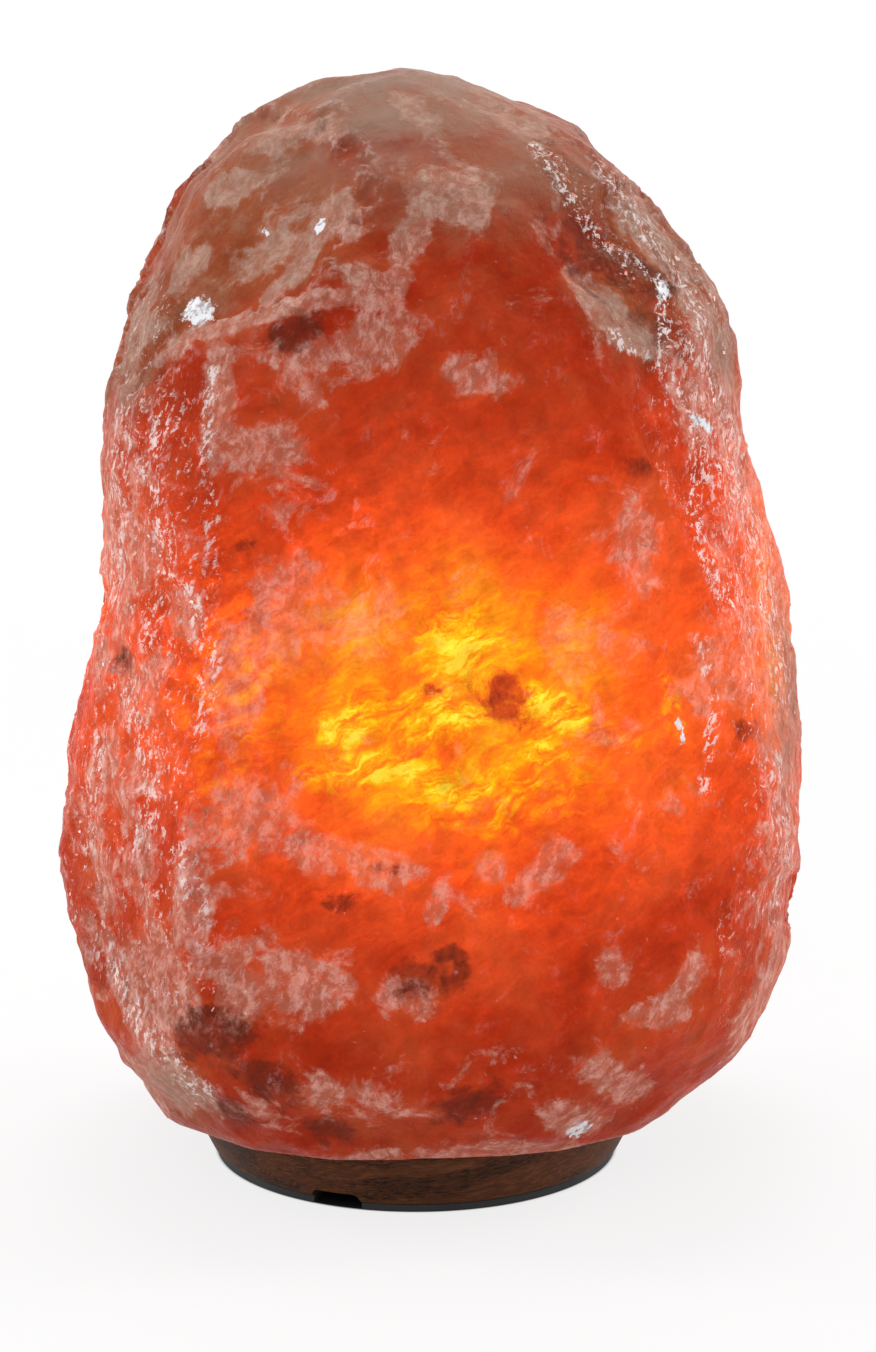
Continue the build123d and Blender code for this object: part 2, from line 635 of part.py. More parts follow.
def bulb_glass():
    """Thin blown envelope, open where its neck is cemented in the cap."""
    outer = glass_neck_radius
    inner = glass_neck_radius - GLASS_WALL
    edges = bulb_outline(0.0) + bulb_outline(GLASS_WALL)
    edges += [
        Line((0, 0, bulb_top_z), (0, 0, bulb_top_z - GLASS_WALL)),
        Line((inner, 0, lamp_cap_top_z), (inner, 0, glass_foot_z)),
        Line((inner, 0, glass_foot_z), (outer, 0, glass_foot_z)),
        Line((outer, 0, glass_foot_z), (outer, 0, lamp_cap_top_z)),
    ]
    return revolve(make_face(edges), Axis.Z, 360)


def bulb_cap():
    """Metal screw cap with the wider collar that holds the glass."""
    low = bulb_bottom_z + BUTTON_HEIGHT + BULB_INSULATOR_HEIGHT
    wall = LAMP_CAP_WALL
    slope_top_z = collar_bottom_z + collar_radius - thread_radius
    return lathe(
        [
            (thread_radius, low),
            (thread_radius, collar_bottom_z),
            (collar_radius, slope_top_z),
            (collar_radius, lamp_cap_top_z),
            (collar_radius - wall, lamp_cap_top_z),
            (collar_radius - wall, slope_top_z + wall / 2),
            (thread_radius - wall, collar_bottom_z + wall / 2),
            (thread_radius - wall, low),
        ]
    )


def bulb_insulator():
    """Black glass between the cap's rim and the centre button."""
    low = bulb_bottom_z + BUTTON_HEIGHT
    rim_z = low + BULB_INSULATOR_HEIGHT
    top_z = rim_z + BULB_INSULATOR_HEIGHT / 2
    rim = thread_radius - LAMP_CAP_WALL
    return lathe([(0, low), (BUTTON_DIAMETER / 2, low), (rim, rim_z), (rim, top_z), (0, top_z)])


def bulb_button():
    button = upright(BUTTON_DIAMETER / 2, bulb_bottom_z, bulb_bottom_z + BUTTON_HEIGHT)
    return fillet(ring_edges(button, bulb_bottom_z), BUTTON_HEIGHT / 2)


def bulb_stem():
    """Flared glass tube, sealed round the wires by a flat pinch at its top."""
    flare = glass_neck_radius - GLASS_WALL - SLIP
    tube = STEM_DIAMETER / 2
    body = lathe(
        [
            (0, glass_foot_z),
            (flare, glass_foot_z),
            (flare, glass_foot_z + GLASS_WALL),
            (tube, glass_foot_z + flare),
            (tube, stem_top_z),
            (0, stem_top_z),
        ]
    )
    pinch = Box(PINCH_WIDTH, PINCH_THICKNESS, PINCH_HEIGHT + tube, align=ON_FLOOR)
    return body + Pos(0, 0, stem_top_z - tube) * pinch


def round_wire(path, diameter):
    return sweep(Plane(origin=path @ 0, z_dir=path % 0) * Circle(diameter / 2), path)


def lead_wires():
    """Wires that stand up out of the pinch, splay and carry the filament's ends."""
    wires = []
    for side in (-1, 1):
        root_x = side * PINCH_WIDTH * 0.3
        root = (root_x, 0, pinch_top_z)
        knee = (root_x, 0, pinch_top_z + FILAMENT_HEIGHT * 0.25)
        end = (side * FILAMENT_SPAN / 2, 0, filament_end_z - FILAMENT_DIAMETER / 2)
        path = FilletPolyline(root, knee, end, radius=2 * LEAD_DIAMETER)
        wires.append(round_wire(path, LEAD_DIAMETER).solid())
    return Compound(wires)


def filament():
    """Arched coil between the wires, drawn as one round rod of the coil's diameter."""
    half = FILAMENT_SPAN / 2 + FILAMENT_DIAMETER
    crown = (0, 0, filament_end_z + FILAMENT_RISE)
    path = ThreePointArc((-half, 0, filament_end_z), crown, (half, 0, filament_end_z))
    return round_wire(path, FILAMENT_DIAMETER)


def filament_support():
    """Thin wire from the pinch to the crown of the filament."""
    top = filament_end_z + FILAMENT_RISE - FILAMENT_DIAMETER / 2
    return upright(LEAD_DIAMETER / 3, pinch_top_z, top)


NODES = {
    "salt_crystal": salt_crystal,
    "wood_base": wood_base,
    "base_pad": base_pad,
    "base_screws": base_screws,
    "wall_plugs": wall_plugs,
    "clip_plate": clip_plate,
    "clip_strip": clip_strip,
    "clip_rivets": clip_rivets,
    "wing_left": lambda: spring_wing(-1),
    "wing_right": lambda: spring_wing(1),
    "cord_nipple": cord_nipple,
    "nipple_nut": nipple_nut,
    "lock_washer": lock_washer,
    "holder_cap": holder_cap,
    "holder_shell": holder_shell,
    "porcelain_insert": porcelain_insert,
    "contact_shell": contact_shell,
    "contact_tongue": contact_tongue,
    "terminals": terminals,
    "terminal_screws": terminal_screws,
    "bulb_glass": bulb_glass,
    "bulb_cap": bulb_cap,
    "bulb_insulator": bulb_insulator,
    "bulb_button": bulb_button,
    "bulb_stem": bulb_stem,
    "lead_wires": lead_wires,
    "filament": filament,
    "filament_support": filament_support,
}

os.makedirs("parts", exist_ok=True)
for node, build in NODES.items():
    export_step(build(), f"parts/{node}.step")
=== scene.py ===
import logging
import math
from dataclasses import dataclass, field
from enum import Enum
from functools import reduce
from typing import Any, Sequence

import bmesh
import bpy
import numpy as np
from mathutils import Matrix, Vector, noise


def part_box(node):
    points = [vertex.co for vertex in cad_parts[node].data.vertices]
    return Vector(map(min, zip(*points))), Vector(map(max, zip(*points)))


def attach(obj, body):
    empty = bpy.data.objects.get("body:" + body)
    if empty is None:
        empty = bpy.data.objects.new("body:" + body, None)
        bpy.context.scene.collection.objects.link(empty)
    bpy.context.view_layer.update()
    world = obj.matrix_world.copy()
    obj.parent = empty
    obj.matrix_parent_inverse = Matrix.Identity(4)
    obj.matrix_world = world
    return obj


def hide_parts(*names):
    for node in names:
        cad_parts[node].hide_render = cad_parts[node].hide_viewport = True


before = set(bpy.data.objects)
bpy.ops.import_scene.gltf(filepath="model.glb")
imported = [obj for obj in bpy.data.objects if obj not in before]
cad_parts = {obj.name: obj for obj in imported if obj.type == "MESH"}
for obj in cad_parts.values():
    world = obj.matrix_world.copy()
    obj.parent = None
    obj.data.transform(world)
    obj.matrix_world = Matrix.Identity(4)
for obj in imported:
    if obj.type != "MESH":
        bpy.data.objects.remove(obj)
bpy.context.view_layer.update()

log = logging.getLogger("salt_lamp")

MM = 0.001
GLASS_IOR = 1.5
SALT_IOR = 1.54
BORE_RADIUS = 0.029     # of the hole in the salt for the lampholder and the bulb

# The photograph's frame, in pixels
PHOTO_WIDTH = 876
PHOTO_HEIGHT = 1352

HALVES = (0.5, 0.5, 0.5)     # the middle of a noise's colour

Pair = tuple[float, float]
Triple = tuple[float, float, float]
Colour = Triple
Socket = bpy.types.NodeSocket


class Body(str, Enum):
    """The bodies that pieces ride on."""

    STONE = "stone_and_base"
    BULB = "bulb"


class Paint(str, Enum):
    """What is painted on the salt, each in an attribute of its own."""

    HAZE = "haze"
    STAIN = "stain"
    # painted shade: salt with no glow coming through
    TAN = "tan"
    ROUGH = "rough"
    FLARE = "flare"
    # painted highlights
    GLINT = "glint"
    # painted glints along crests
    FROST = "frost"
    CHIP = "chip"


# ---------------------------------------------------------------- node trees


class Wiring:
    """Adds nodes to a tree and joins them, in a line for each."""

    def __init__(self, tree: bpy.types.NodeTree) -> None:
        """Takes the tree that the nodes go into."""
        self.tree = tree

    def feed(self, socket: Socket, value: Any) -> None:
        """Links a socket or a node's first output to a socket, or sets its value."""
        if isinstance(value, bpy.types.Node):
            value = value.outputs[0]
        if isinstance(value, bpy.types.NodeSocket):
            self.tree.links.new(value, socket)
        elif socket.type == "RGBA" and len(value) == 3:
            socket.default_value = (*value, 1.0)
        else:
            socket.default_value = value

    def add(self, kind: str, inputs: dict | None = None, **settings: Any) -> bpy.types.Node:
        """Adds one node.

        Args:
            kind: The node's type.
            inputs: What feeds its inputs, by name or number.
            **settings: Its own settings.

        Returns:
            The node.
        """
        node = self.tree.nodes.new(kind)
        for name, value in settings.items():
            setattr(node, name, value)
        for key, value in (inputs or {}).items():
            self.feed(node.inputs[key], value)
        return node

    def maths(self, operation: str, *values: Any, clamp: bool = False) -> Socket:
        """Result of a Math node on values or sockets."""
        inputs = dict(enumerate(values))
        return self.add("ShaderNodeMath", inputs, operation=operation, use_clamp=clamp).outputs[0]

    def times(self, *values: Any) -> Socket:
        """Product of two values, or of more, from the left."""
        return reduce(lambda product, value: self.maths("MULTIPLY", product, value), values)

    def plus(self, *values: Any) -> Socket:
        """Sum of two values."""
        return self.maths("ADD", *values)

    def minus(self, *values: Any) -> Socket:
        """Difference of two values."""
        return self.maths("SUBTRACT", *values)

    def vector(self, operation: str, *values: Any) -> Socket:
        """Vector result of a Vector Math node."""
        node = self.add("ShaderNodeVectorMath", operation=operation)
        for socket, value in zip(node.inputs, values):
            self.feed(socket, value)
        return node.outputs["Value" if operation in ("LENGTH", "DOT_PRODUCT") else "Vector"]

    def enlarged(self, vector: Any, factor: Any) -> Socket:
        """A vector times one number."""
        node = self.add("ShaderNodeVectorMath", {"Scale": factor}, operation="SCALE")
        self.feed(node.inputs[0], vector)
        return node.outputs["Vector"]

    def step(self, value: Any, low: Any, high: Any, to: Pair = (0.0, 1.0)) -> Socket:
        """Smooth step of a value between two levels."""
        inputs = {"Value": value, "From Min": low, "From Max": high, "To Min": to[0], "To Max": to[1]}
        return self.add("ShaderNodeMapRange", inputs, interpolation_type="SMOOTHSTEP").outputs[0]

    def mixed(self, factor: Any, first: Any, second: Any) -> Socket:
        """Mix of two colours."""
        # A Mix node has sockets of one name for each type, so these go by number
        inputs = {0: factor, 6: first, 7: second}
        return self.add("ShaderNodeMix", inputs, data_type="RGBA").outputs[2]

    def noise(self, vector: Any, size: float, detail: float = 3.0, roughness: float = 0.55,
              distortion: float = 0.0, output: str = "Fac") -> Socket:
        """Noise whose largest spots are about a size in millimetres.

        Args:
            vector: The coordinates, in metres.
            size: The size of the spots.
            detail: How many finer layers it has.
            roughness: How strong those are.
            distortion: How far it is swirled.
            output: Fac or Color.

        Returns:
            The noise, about 0.5 on average.
        """
        inputs = {"Vector": vector, "Scale": 1.0 / (size * MM), "Detail": detail,
                  "Roughness": roughness, "Distortion": distortion}
        return self.add("ShaderNodeTexNoise", inputs).outputs[output]

    def warped(self, vector: Any, size: float, reach: float, detail: float = 3.0) -> Socket:
        """Coordinates pushed about by noise, by up to about half a reach in millimetres."""
        push = self.vector("SUBTRACT", self.noise(vector, size, detail, output="Color"), HALVES)
        return self.vector("ADD", vector, self.enlarged(push, 2 * reach * MM))

    def stretched(self, vector: Any, turn: Triple, scale: Triple) -> Socket:
        """Coordinates turned, in degrees, and then scaled."""
        radians = tuple(map(math.radians, turn))
        turned = self.add("ShaderNodeMapping", {"Vector": vector, "Rotation": radians})
        return self.vector("MULTIPLY", turned.outputs[0], scale)

    def ramp(self, value: Any, stops: Sequence[tuple[float, Colour]]) -> Socket:
        """Colour of a value on a ramp of (place, colour) stops."""
        node = self.add("ShaderNodeValToRGB", {"Fac": value})
        elements = node.color_ramp.elements
        elements.remove(elements[1])
        elements[0].position = stops[0][0]
        for place, _ in stops[1:]:
            elements.new(place)
        for element, (_, colour) in zip(elements, stops):
            element.color = (*colour, 1.0)
        return node.outputs["Color"]


SOCKETS = {float: "NodeSocketFloat", int: "NodeSocketInt", tuple: "NodeSocketVector",
           "geometry": "NodeSocketGeometry", "material": "NodeSocketMaterial"}


def declare(tree: bpy.types.NodeTree, name: str, kind: Any, in_out: str, default: Any = None) -> None:
    """Gives a tree an input or an output."""
    socket = tree.interface.new_socket(name=name, in_out=in_out, socket_type=SOCKETS[kind])
    if default is not None:
        socket.default_value = default


class ShaderGroup:
    """An effect that several materials share, built once."""

    title = ""
    inputs: dict[str, Any] = {}
    outputs: dict[str, Any] = {}

    def wire(self, w: Wiring, given: bpy.types.NodeInputs) -> dict[str, Socket]:
        """Builds the effect from the group's inputs and returns what its outputs get."""
        raise NotImplementedError

    def tree(self) -> bpy.types.NodeTree:
        """The group's tree, made on first use."""
        if self.title in bpy.data.node_groups:
            return bpy.data.node_groups[self.title]
        tree = bpy.data.node_groups.new(self.title, "ShaderNodeTree")
        declare(tree, "Vector", tuple, "INPUT")
        for name, default in self.inputs.items():
            declare(tree, name, type(default), "INPUT", default)
        for name, kind in self.outputs.items():
            declare(tree, name, kind, "OUTPUT")
        w = Wiring(tree)
        given = w.add("NodeGroupInput").outputs
        w.add("NodeGroupOutput", self.wire(w, given))
        return tree

    def place(self, w: Wiring, vector: Any, **values: Any) -> bpy.types.NodeOutputs:
        """Puts the group in a material.

        Args:
            w: The material's wiring.
            vector: The coordinates that the effect follows.
            **values: Its inputs, with underscores for spaces.

        Returns:
            The group's outputs.
        """
        node = w.add("ShaderNodeGroup", node_tree=self.tree())
        w.feed(node.inputs["Vector"], vector)
        for name, value in values.items():
            w.feed(node.inputs[name.replace("_", " ").title()], value)
        return node.outputs


class RaggedPatch(ShaderGroup):
    """Turns a soft painted patch into one with a torn edge."""

    title = "Ragged Patch"
    inputs = {"Cover": 0.0, "Scale": 200.0, "Raggedness": 1.0, "Edge": 0.08}
    outputs = {"Mask": float}

    def wire(self, w: Wiring, given: bpy.types.NodeInputs) -> dict[str, Socket]:
        """Adds noise to the cover, where there is any, and cuts it at a half."""
        ragged = w.add("ShaderNodeTexNoise", {"Vector": given["Vector"], "Scale": given["Scale"],
                                              "Detail": 7.0, "Roughness": 0.68, "Distortion": 0.5})
        tear = w.times(w.minus(ragged.outputs["Fac"], 0.5), given["Raggedness"])
        tear = w.times(tear, w.step(given["Cover"], 0.0, 0.12))
        level = w.plus(given["Cover"], tear)
        low = w.minus(0.5, given["Edge"])
        high = w.plus(0.5, given["Edge"])
        return {"Mask": w.step(level, low, high)}


class Handling(ShaderGroup):
    """Fine scratches, smears and settled dust of a surface that was handled."""

    title = "Handling"
    inputs = {"Scratch Scale": 900.0, "Scratch Stretch": 0.04, "Smear Scale": 60.0}
    outputs = {"Scratches": float, "Smears": float, "Dust": float}
    scratch_turns = (12.0, -31.0)       # degrees

    def wire(self, w: Wiring, given: bpy.types.NodeInputs) -> dict[str, Socket]:
        """Two crossed layers of stretched noise, a soft one, and one that lies on upward faces."""
        point, fine = given["Vector"], given["Scratch Scale"]
        layers = []
        for turn in self.scratch_turns:
            radians = (math.radians(turn), 0.0, math.radians(2 * turn))
            turned = w.add("ShaderNodeMapping", {"Vector": point, "Rotation": radians})
            thin = w.add("ShaderNodeCombineXYZ", {"X": 1.0, "Y": 1.0, "Z": given["Scratch Stretch"]})
            along = w.vector("MULTIPLY", turned, thin)
            grain = w.add("ShaderNodeTexNoise", {"Vector": along, "Scale": fine, "Detail": 2.0})
            layers.append(w.step(grain.outputs["Fac"], 0.62, 0.74))
        scratches = w.maths("MAXIMUM", *layers)
        smear = w.add("ShaderNodeTexNoise", {"Vector": point, "Scale": given["Smear Scale"],
                                             "Detail": 4.0, "Distortion": 0.8})
        normal = w.add("ShaderNodeNewGeometry").outputs["Normal"]
        up = w.add("ShaderNodeSeparateXYZ", {"Vector": normal}).outputs["Z"]
        speck = w.add("ShaderNodeTexNoise", {"Vector": point, "Scale": fine, "Detail": 3.0})
        dust = w.times(w.step(up, 0.3, 1.0), w.step(speck.outputs["Fac"], 0.45, 0.7))
        return {"Scratches": scratches, "Smears": smear.outputs["Fac"], "Dust": dust}


class GeometryTree:
    """A Geometry Nodes tree with named inputs, run once on an object."""

    title = ""
    inputs: dict[str, Any] = {}

    def wire(self, w: Wiring, given: bpy.types.NodeInputs) -> Socket:
        """Builds the shape and returns the geometry before it is realized."""
        raise NotImplementedError

    def painted(self, w: Wiring, kind: Paint) -> Socket:
        """Cover of one kind of paint at each point."""
        inputs = {"Name": kind.value}
        return w.add("GeometryNodeInputNamedAttribute", inputs, data_type="FLOAT").outputs[0]

    def tree(self) -> bpy.types.NodeTree:
        """The tree, made on first use."""
        if self.title in bpy.data.node_groups:
            return bpy.data.node_groups[self.title]
        tree = bpy.data.node_groups.new(self.title, "GeometryNodeTree")
        declare(tree, "Geometry", "geometry", "INPUT")
        for name, default in self.inputs.items():
            declare(tree, name, type(default), "INPUT", default)
        declare(tree, "Material", "material", "INPUT")
        declare(tree, "Geometry", "geometry", "OUTPUT")
        w = Wiring(tree)
        given = w.add("NodeGroupInput").outputs
        real = w.add("GeometryNodeRealizeInstances", {"Geometry": self.wire(w, given)})
        dressed = w.add("GeometryNodeSetMaterial", {"Geometry": real, "Material": given["Material"]})
        w.add("NodeGroupOutput", {"Geometry": dressed})
        return tree

    def run(self, piece: bpy.types.Object, material: bpy.types.Material, **values: Any) -> None:
        """Runs the tree on a piece, whose mesh becomes the plain result.

        Args:
            piece: The piece.
            material: The material that the tree sets.
            **values: The tree's inputs, with underscores for spaces.
        """
        modifier = piece.modifiers.new(self.title, "NODES")
        modifier.node_group = self.tree()
        for item in modifier.node_group.interface.items_tree:
            if item.in_out == "INPUT" and item.name == "Material":
                modifier[item.identifier] = material
            elif item.in_out == "INPUT" and item.name in self.inputs:
                key = item.name.lower().replace(" ", "_")
                modifier[item.identifier] = values.get(key, self.inputs[item.name])
        settle(piece)


def value_input(node: bpy.types.Node) -> Socket:
    """The Value input that a node shows for its type, of those with that name."""
    return next(socket for socket in node.inputs if socket.name == "Value" and socket.enabled)


def settle(piece: bpy.types.Object) -> None:
    """Turns a piece with modifiers into a plain mesh without them."""
    graph = bpy.context.evaluated_depsgraph_get()
    mesh = bpy.data.meshes.new_from_object(piece.evaluated_get(graph), depsgraph=graph)
    mesh.name = piece.name
    piece.modifiers.clear()
    piece.data = mesh


# ---------------------------------------------------------------- finishes


def object_point(w: Wiring) -> Socket:
    """The Object coordinates."""
    return w.add("ShaderNodeTexCoord").outputs["Object"]


def new_material(name: str) -> tuple[bpy.types.Material, Wiring, bpy.types.Node]:
    """A material with its wiring and its Principled shader."""
    material = bpy.data.materials.new(name)
    material.use_nodes = True
    shader = next(node for node in material.node_tree.nodes if node.type == "BSDF_PRINCIPLED")
    return material, Wiring(material.node_tree), shader


def roughen(w: Wiring, shader: bpy.types.Node, height: Socket, strength: float, depth: float) -> None:
    """Bumps a shader's surface by a height.

    Args:
        w: The material's wiring.
        shader: The material's shader.
        height: The height, from 0 to 1.
        strength: How strongly it shows.
        depth: How deep it is, in millimetres.
    """
    inputs = {"Height": height, "Strength": strength, "Distance": depth * MM}
    w.feed(shader.inputs["Normal"], w.add("ShaderNodeBump", inputs))


@dataclass(frozen=True)
class Metal:
    """Metal with fine scratches, smears and a darker tarnish."""

    name: str
    colour: Colour
    tarnish: Colour
    roughness: float = 0.3
    tarnish_share: float = 0.4
    scratch_depth: float = 0.15
    dust: Colour = (0.42, 0.4, 0.37)

    def material(self) -> bpy.types.Material:
        """Builds the material."""
        material, w, shader = new_material(self.name)
        point = object_point(w)
        marks = Handling().place(w, point, smear_scale=140.0)
        tarnish = w.step(marks["Smears"], 0.45, 0.72, (0.0, self.tarnish_share))
        colour = w.mixed(tarnish, self.colour, self.tarnish)
        w.feed(shader.inputs["Base Color"], w.mixed(marks["Dust"], colour, self.dust))
        rough = w.plus(self.roughness, w.times(tarnish, 0.35))
        w.feed(shader.inputs["Roughness"], w.plus(rough, w.times(marks["Scratches"], 0.2)))
        shader.inputs["Metallic"].default_value = 1.0
        bump = w.add("ShaderNodeBump", {"Height": marks["Scratches"], "Strength": self.scratch_depth,
                                        "Distance": 0.05 * MM}, invert=True)
        w.feed(shader.inputs["Normal"], bump)
        return material


@dataclass(frozen=True)
class Moulding:
    """Moulded plastic, rubber or glazed ceramic, with a fine skin texture."""

    name: str
    colour: Colour
    worn: Colour
    roughness: float = 0.5
    skin_size: float = 0.5
    skin_depth: float = 0.04
    coat: float = 0.0
    dust: Colour = (0.4, 0.38, 0.35)

    def material(self) -> bpy.types.Material:
        """Builds the material."""
        material, w, shader = new_material(self.name)
        point = object_point(w)
        marks = Handling().place(w, point, smear_scale=90.0)
        patchy = w.step(marks["Smears"], 0.35, 0.75)
        colour = w.mixed(w.times(patchy, 0.5), self.colour, self.worn)
        colour = w.mixed(w.times(marks["Scratches"], 0.35), colour, self.worn)
        w.feed(shader.inputs["Base Color"], w.mixed(w.times(marks["Dust"], 0.5), colour, self.dust))
        w.feed(shader.inputs["Roughness"], w.plus(self.roughness, w.times(patchy, 0.12)))
        shader.inputs["Coat Weight"].default_value = self.coat
        roughen(w, shader, w.noise(point, self.skin_size, 3.0), 0.6, self.skin_depth)
        return material


@dataclass(frozen=True)
class BlownGlass:
    """Clear glass with faint waves and smears."""

    name: str
    colour: Colour = (1.0, 0.985, 0.96)
    wave_size: float = 9.0
    wave_depth: float = 0.12

    def material(self) -> bpy.types.Material:
        """Builds the material."""
        material, w, shader = new_material(self.name)
        point = object_point(w)
        shader.inputs["Transmission Weight"].default_value = 1.0
        shader.inputs["IOR"].default_value = GLASS_IOR
        marks = Handling().place(w, point, smear_scale=70.0)
        tint = tuple(0.96 * part for part in self.colour)
        w.feed(shader.inputs["Base Color"], w.mixed(marks["Smears"], self.colour, tint))
        w.feed(shader.inputs["Roughness"], w.step(marks["Smears"], 0.5, 0.8, (0.0, 0.07)))
        roughen(w, shader, w.noise(point, self.wave_size, 1.0), 0.3, self.wave_depth)
        return material


@dataclass(frozen=True)
class HotWire:
    """Glowing coil of the filament."""

    name: str = "hot_filament"
    colour: Colour = (1.0, 0.62, 0.22)
    hottest: Colour = (1.0, 0.8, 0.45)
    cold: Colour = (0.3, 0.25, 0.2)
    cold_pale: Colour = (0.5, 0.4, 0.3)
    strength: float = 4.0

    def material(self) -> bpy.types.Material:
        """Builds the material."""
        material, w, shader = new_material(self.name)
        heat = w.noise(object_point(w), 1.5, 2.0)
        w.feed(shader.inputs["Base Color"], w.mixed(heat, self.cold, self.cold_pale))
        w.feed(shader.inputs["Emission Color"], w.mixed(heat, self.colour, self.hottest))
        shader.inputs["Emission Strength"].default_value = self.strength
        w.feed(shader.inputs["Roughness"], w.step(heat, 0.0, 1.0, (0.4, 0.6)))
        return material


@dataclass(frozen=True)
class StainedWood:
    """Dark stained wood whose open pores run down to the right."""

    name: str = "stained_wood"
    early: Colour = (0.19, 0.070, 0.029)
    late: Colour = (0.040, 0.014, 0.006)
    pore: Colour = (0.012, 0.006, 0.004)
    grain_tilt: float = 6.0     # degrees
    ring_size: float = 7.0
    pore_size: float = 0.42
    pore_depth: float = 0.2

    def material(self) -> bpy.types.Material:
        """Builds the material."""
        material, w, shader = new_material(self.name)
        point = object_point(w)
        wavy = w.warped(point, 38.0, 2.4)
        turn = (0.0, self.grain_tilt, 0.0)
        rings = w.noise(w.stretched(wavy, turn, (0.05, 0.5, 1.0)), self.ring_size, 4.0, 0.6)
        fine = w.noise(w.stretched(wavy, turn, (0.06, 0.5, 1.0)), 0.8, 4.0, 0.7)
        dashed = w.stretched(w.warped(point, 5.0, 0.5), turn, (0.16, 0.5, 1.0))
        dashes = w.noise(dashed, self.pore_size, 2.0, 0.6)
        colour = w.mixed(w.step(rings, 0.36, 0.60, (0.35, 1.0)), self.late, self.early)
        colour = w.mixed(w.step(fine, 0.44, 0.64, (0.55, 0.0)), colour, self.late)
        pores = w.times(w.step(dashes, 0.52, 0.58), w.step(rings, 0.46, 0.56, (0.85, 0.25)))
        w.feed(shader.inputs["Base Color"], w.mixed(pores, colour, self.pore))
        w.feed(shader.inputs["Roughness"], w.step(rings, 0.3, 0.7, (0.5, 0.62)))
        shader.inputs["Specular IOR Level"].default_value = 0.06
        roughen(w, shader, w.minus(w.times(fine, 0.35), pores), 0.7, self.pore_depth)
        return material


# How the edge of each painted patch is torn
TEARS = {
    "haze": {"scale": 70.0, "raggedness": 3.4, "edge": 0.20},
    "veil": {"scale": 40.0, "raggedness": 3.6, "edge": 0.6},
    "stain": {"scale": 110.0, "raggedness": 3.2, "edge": 0.4},
    "tan": {"scale": 42.0, "raggedness": 1.7, "edge": 0.55},
    "rough": {"scale": 90.0, "raggedness": 1.8, "edge": 0.4},
    "glint": {"scale": 480.0, "raggedness": 3.4, "edge": 0.12},
    "frost": {"scale": 140.0, "raggedness": 3.0, "edge": 0.5},
    "flare": {"scale": 130.0, "raggedness": 2.6, "edge": 0.5},
}


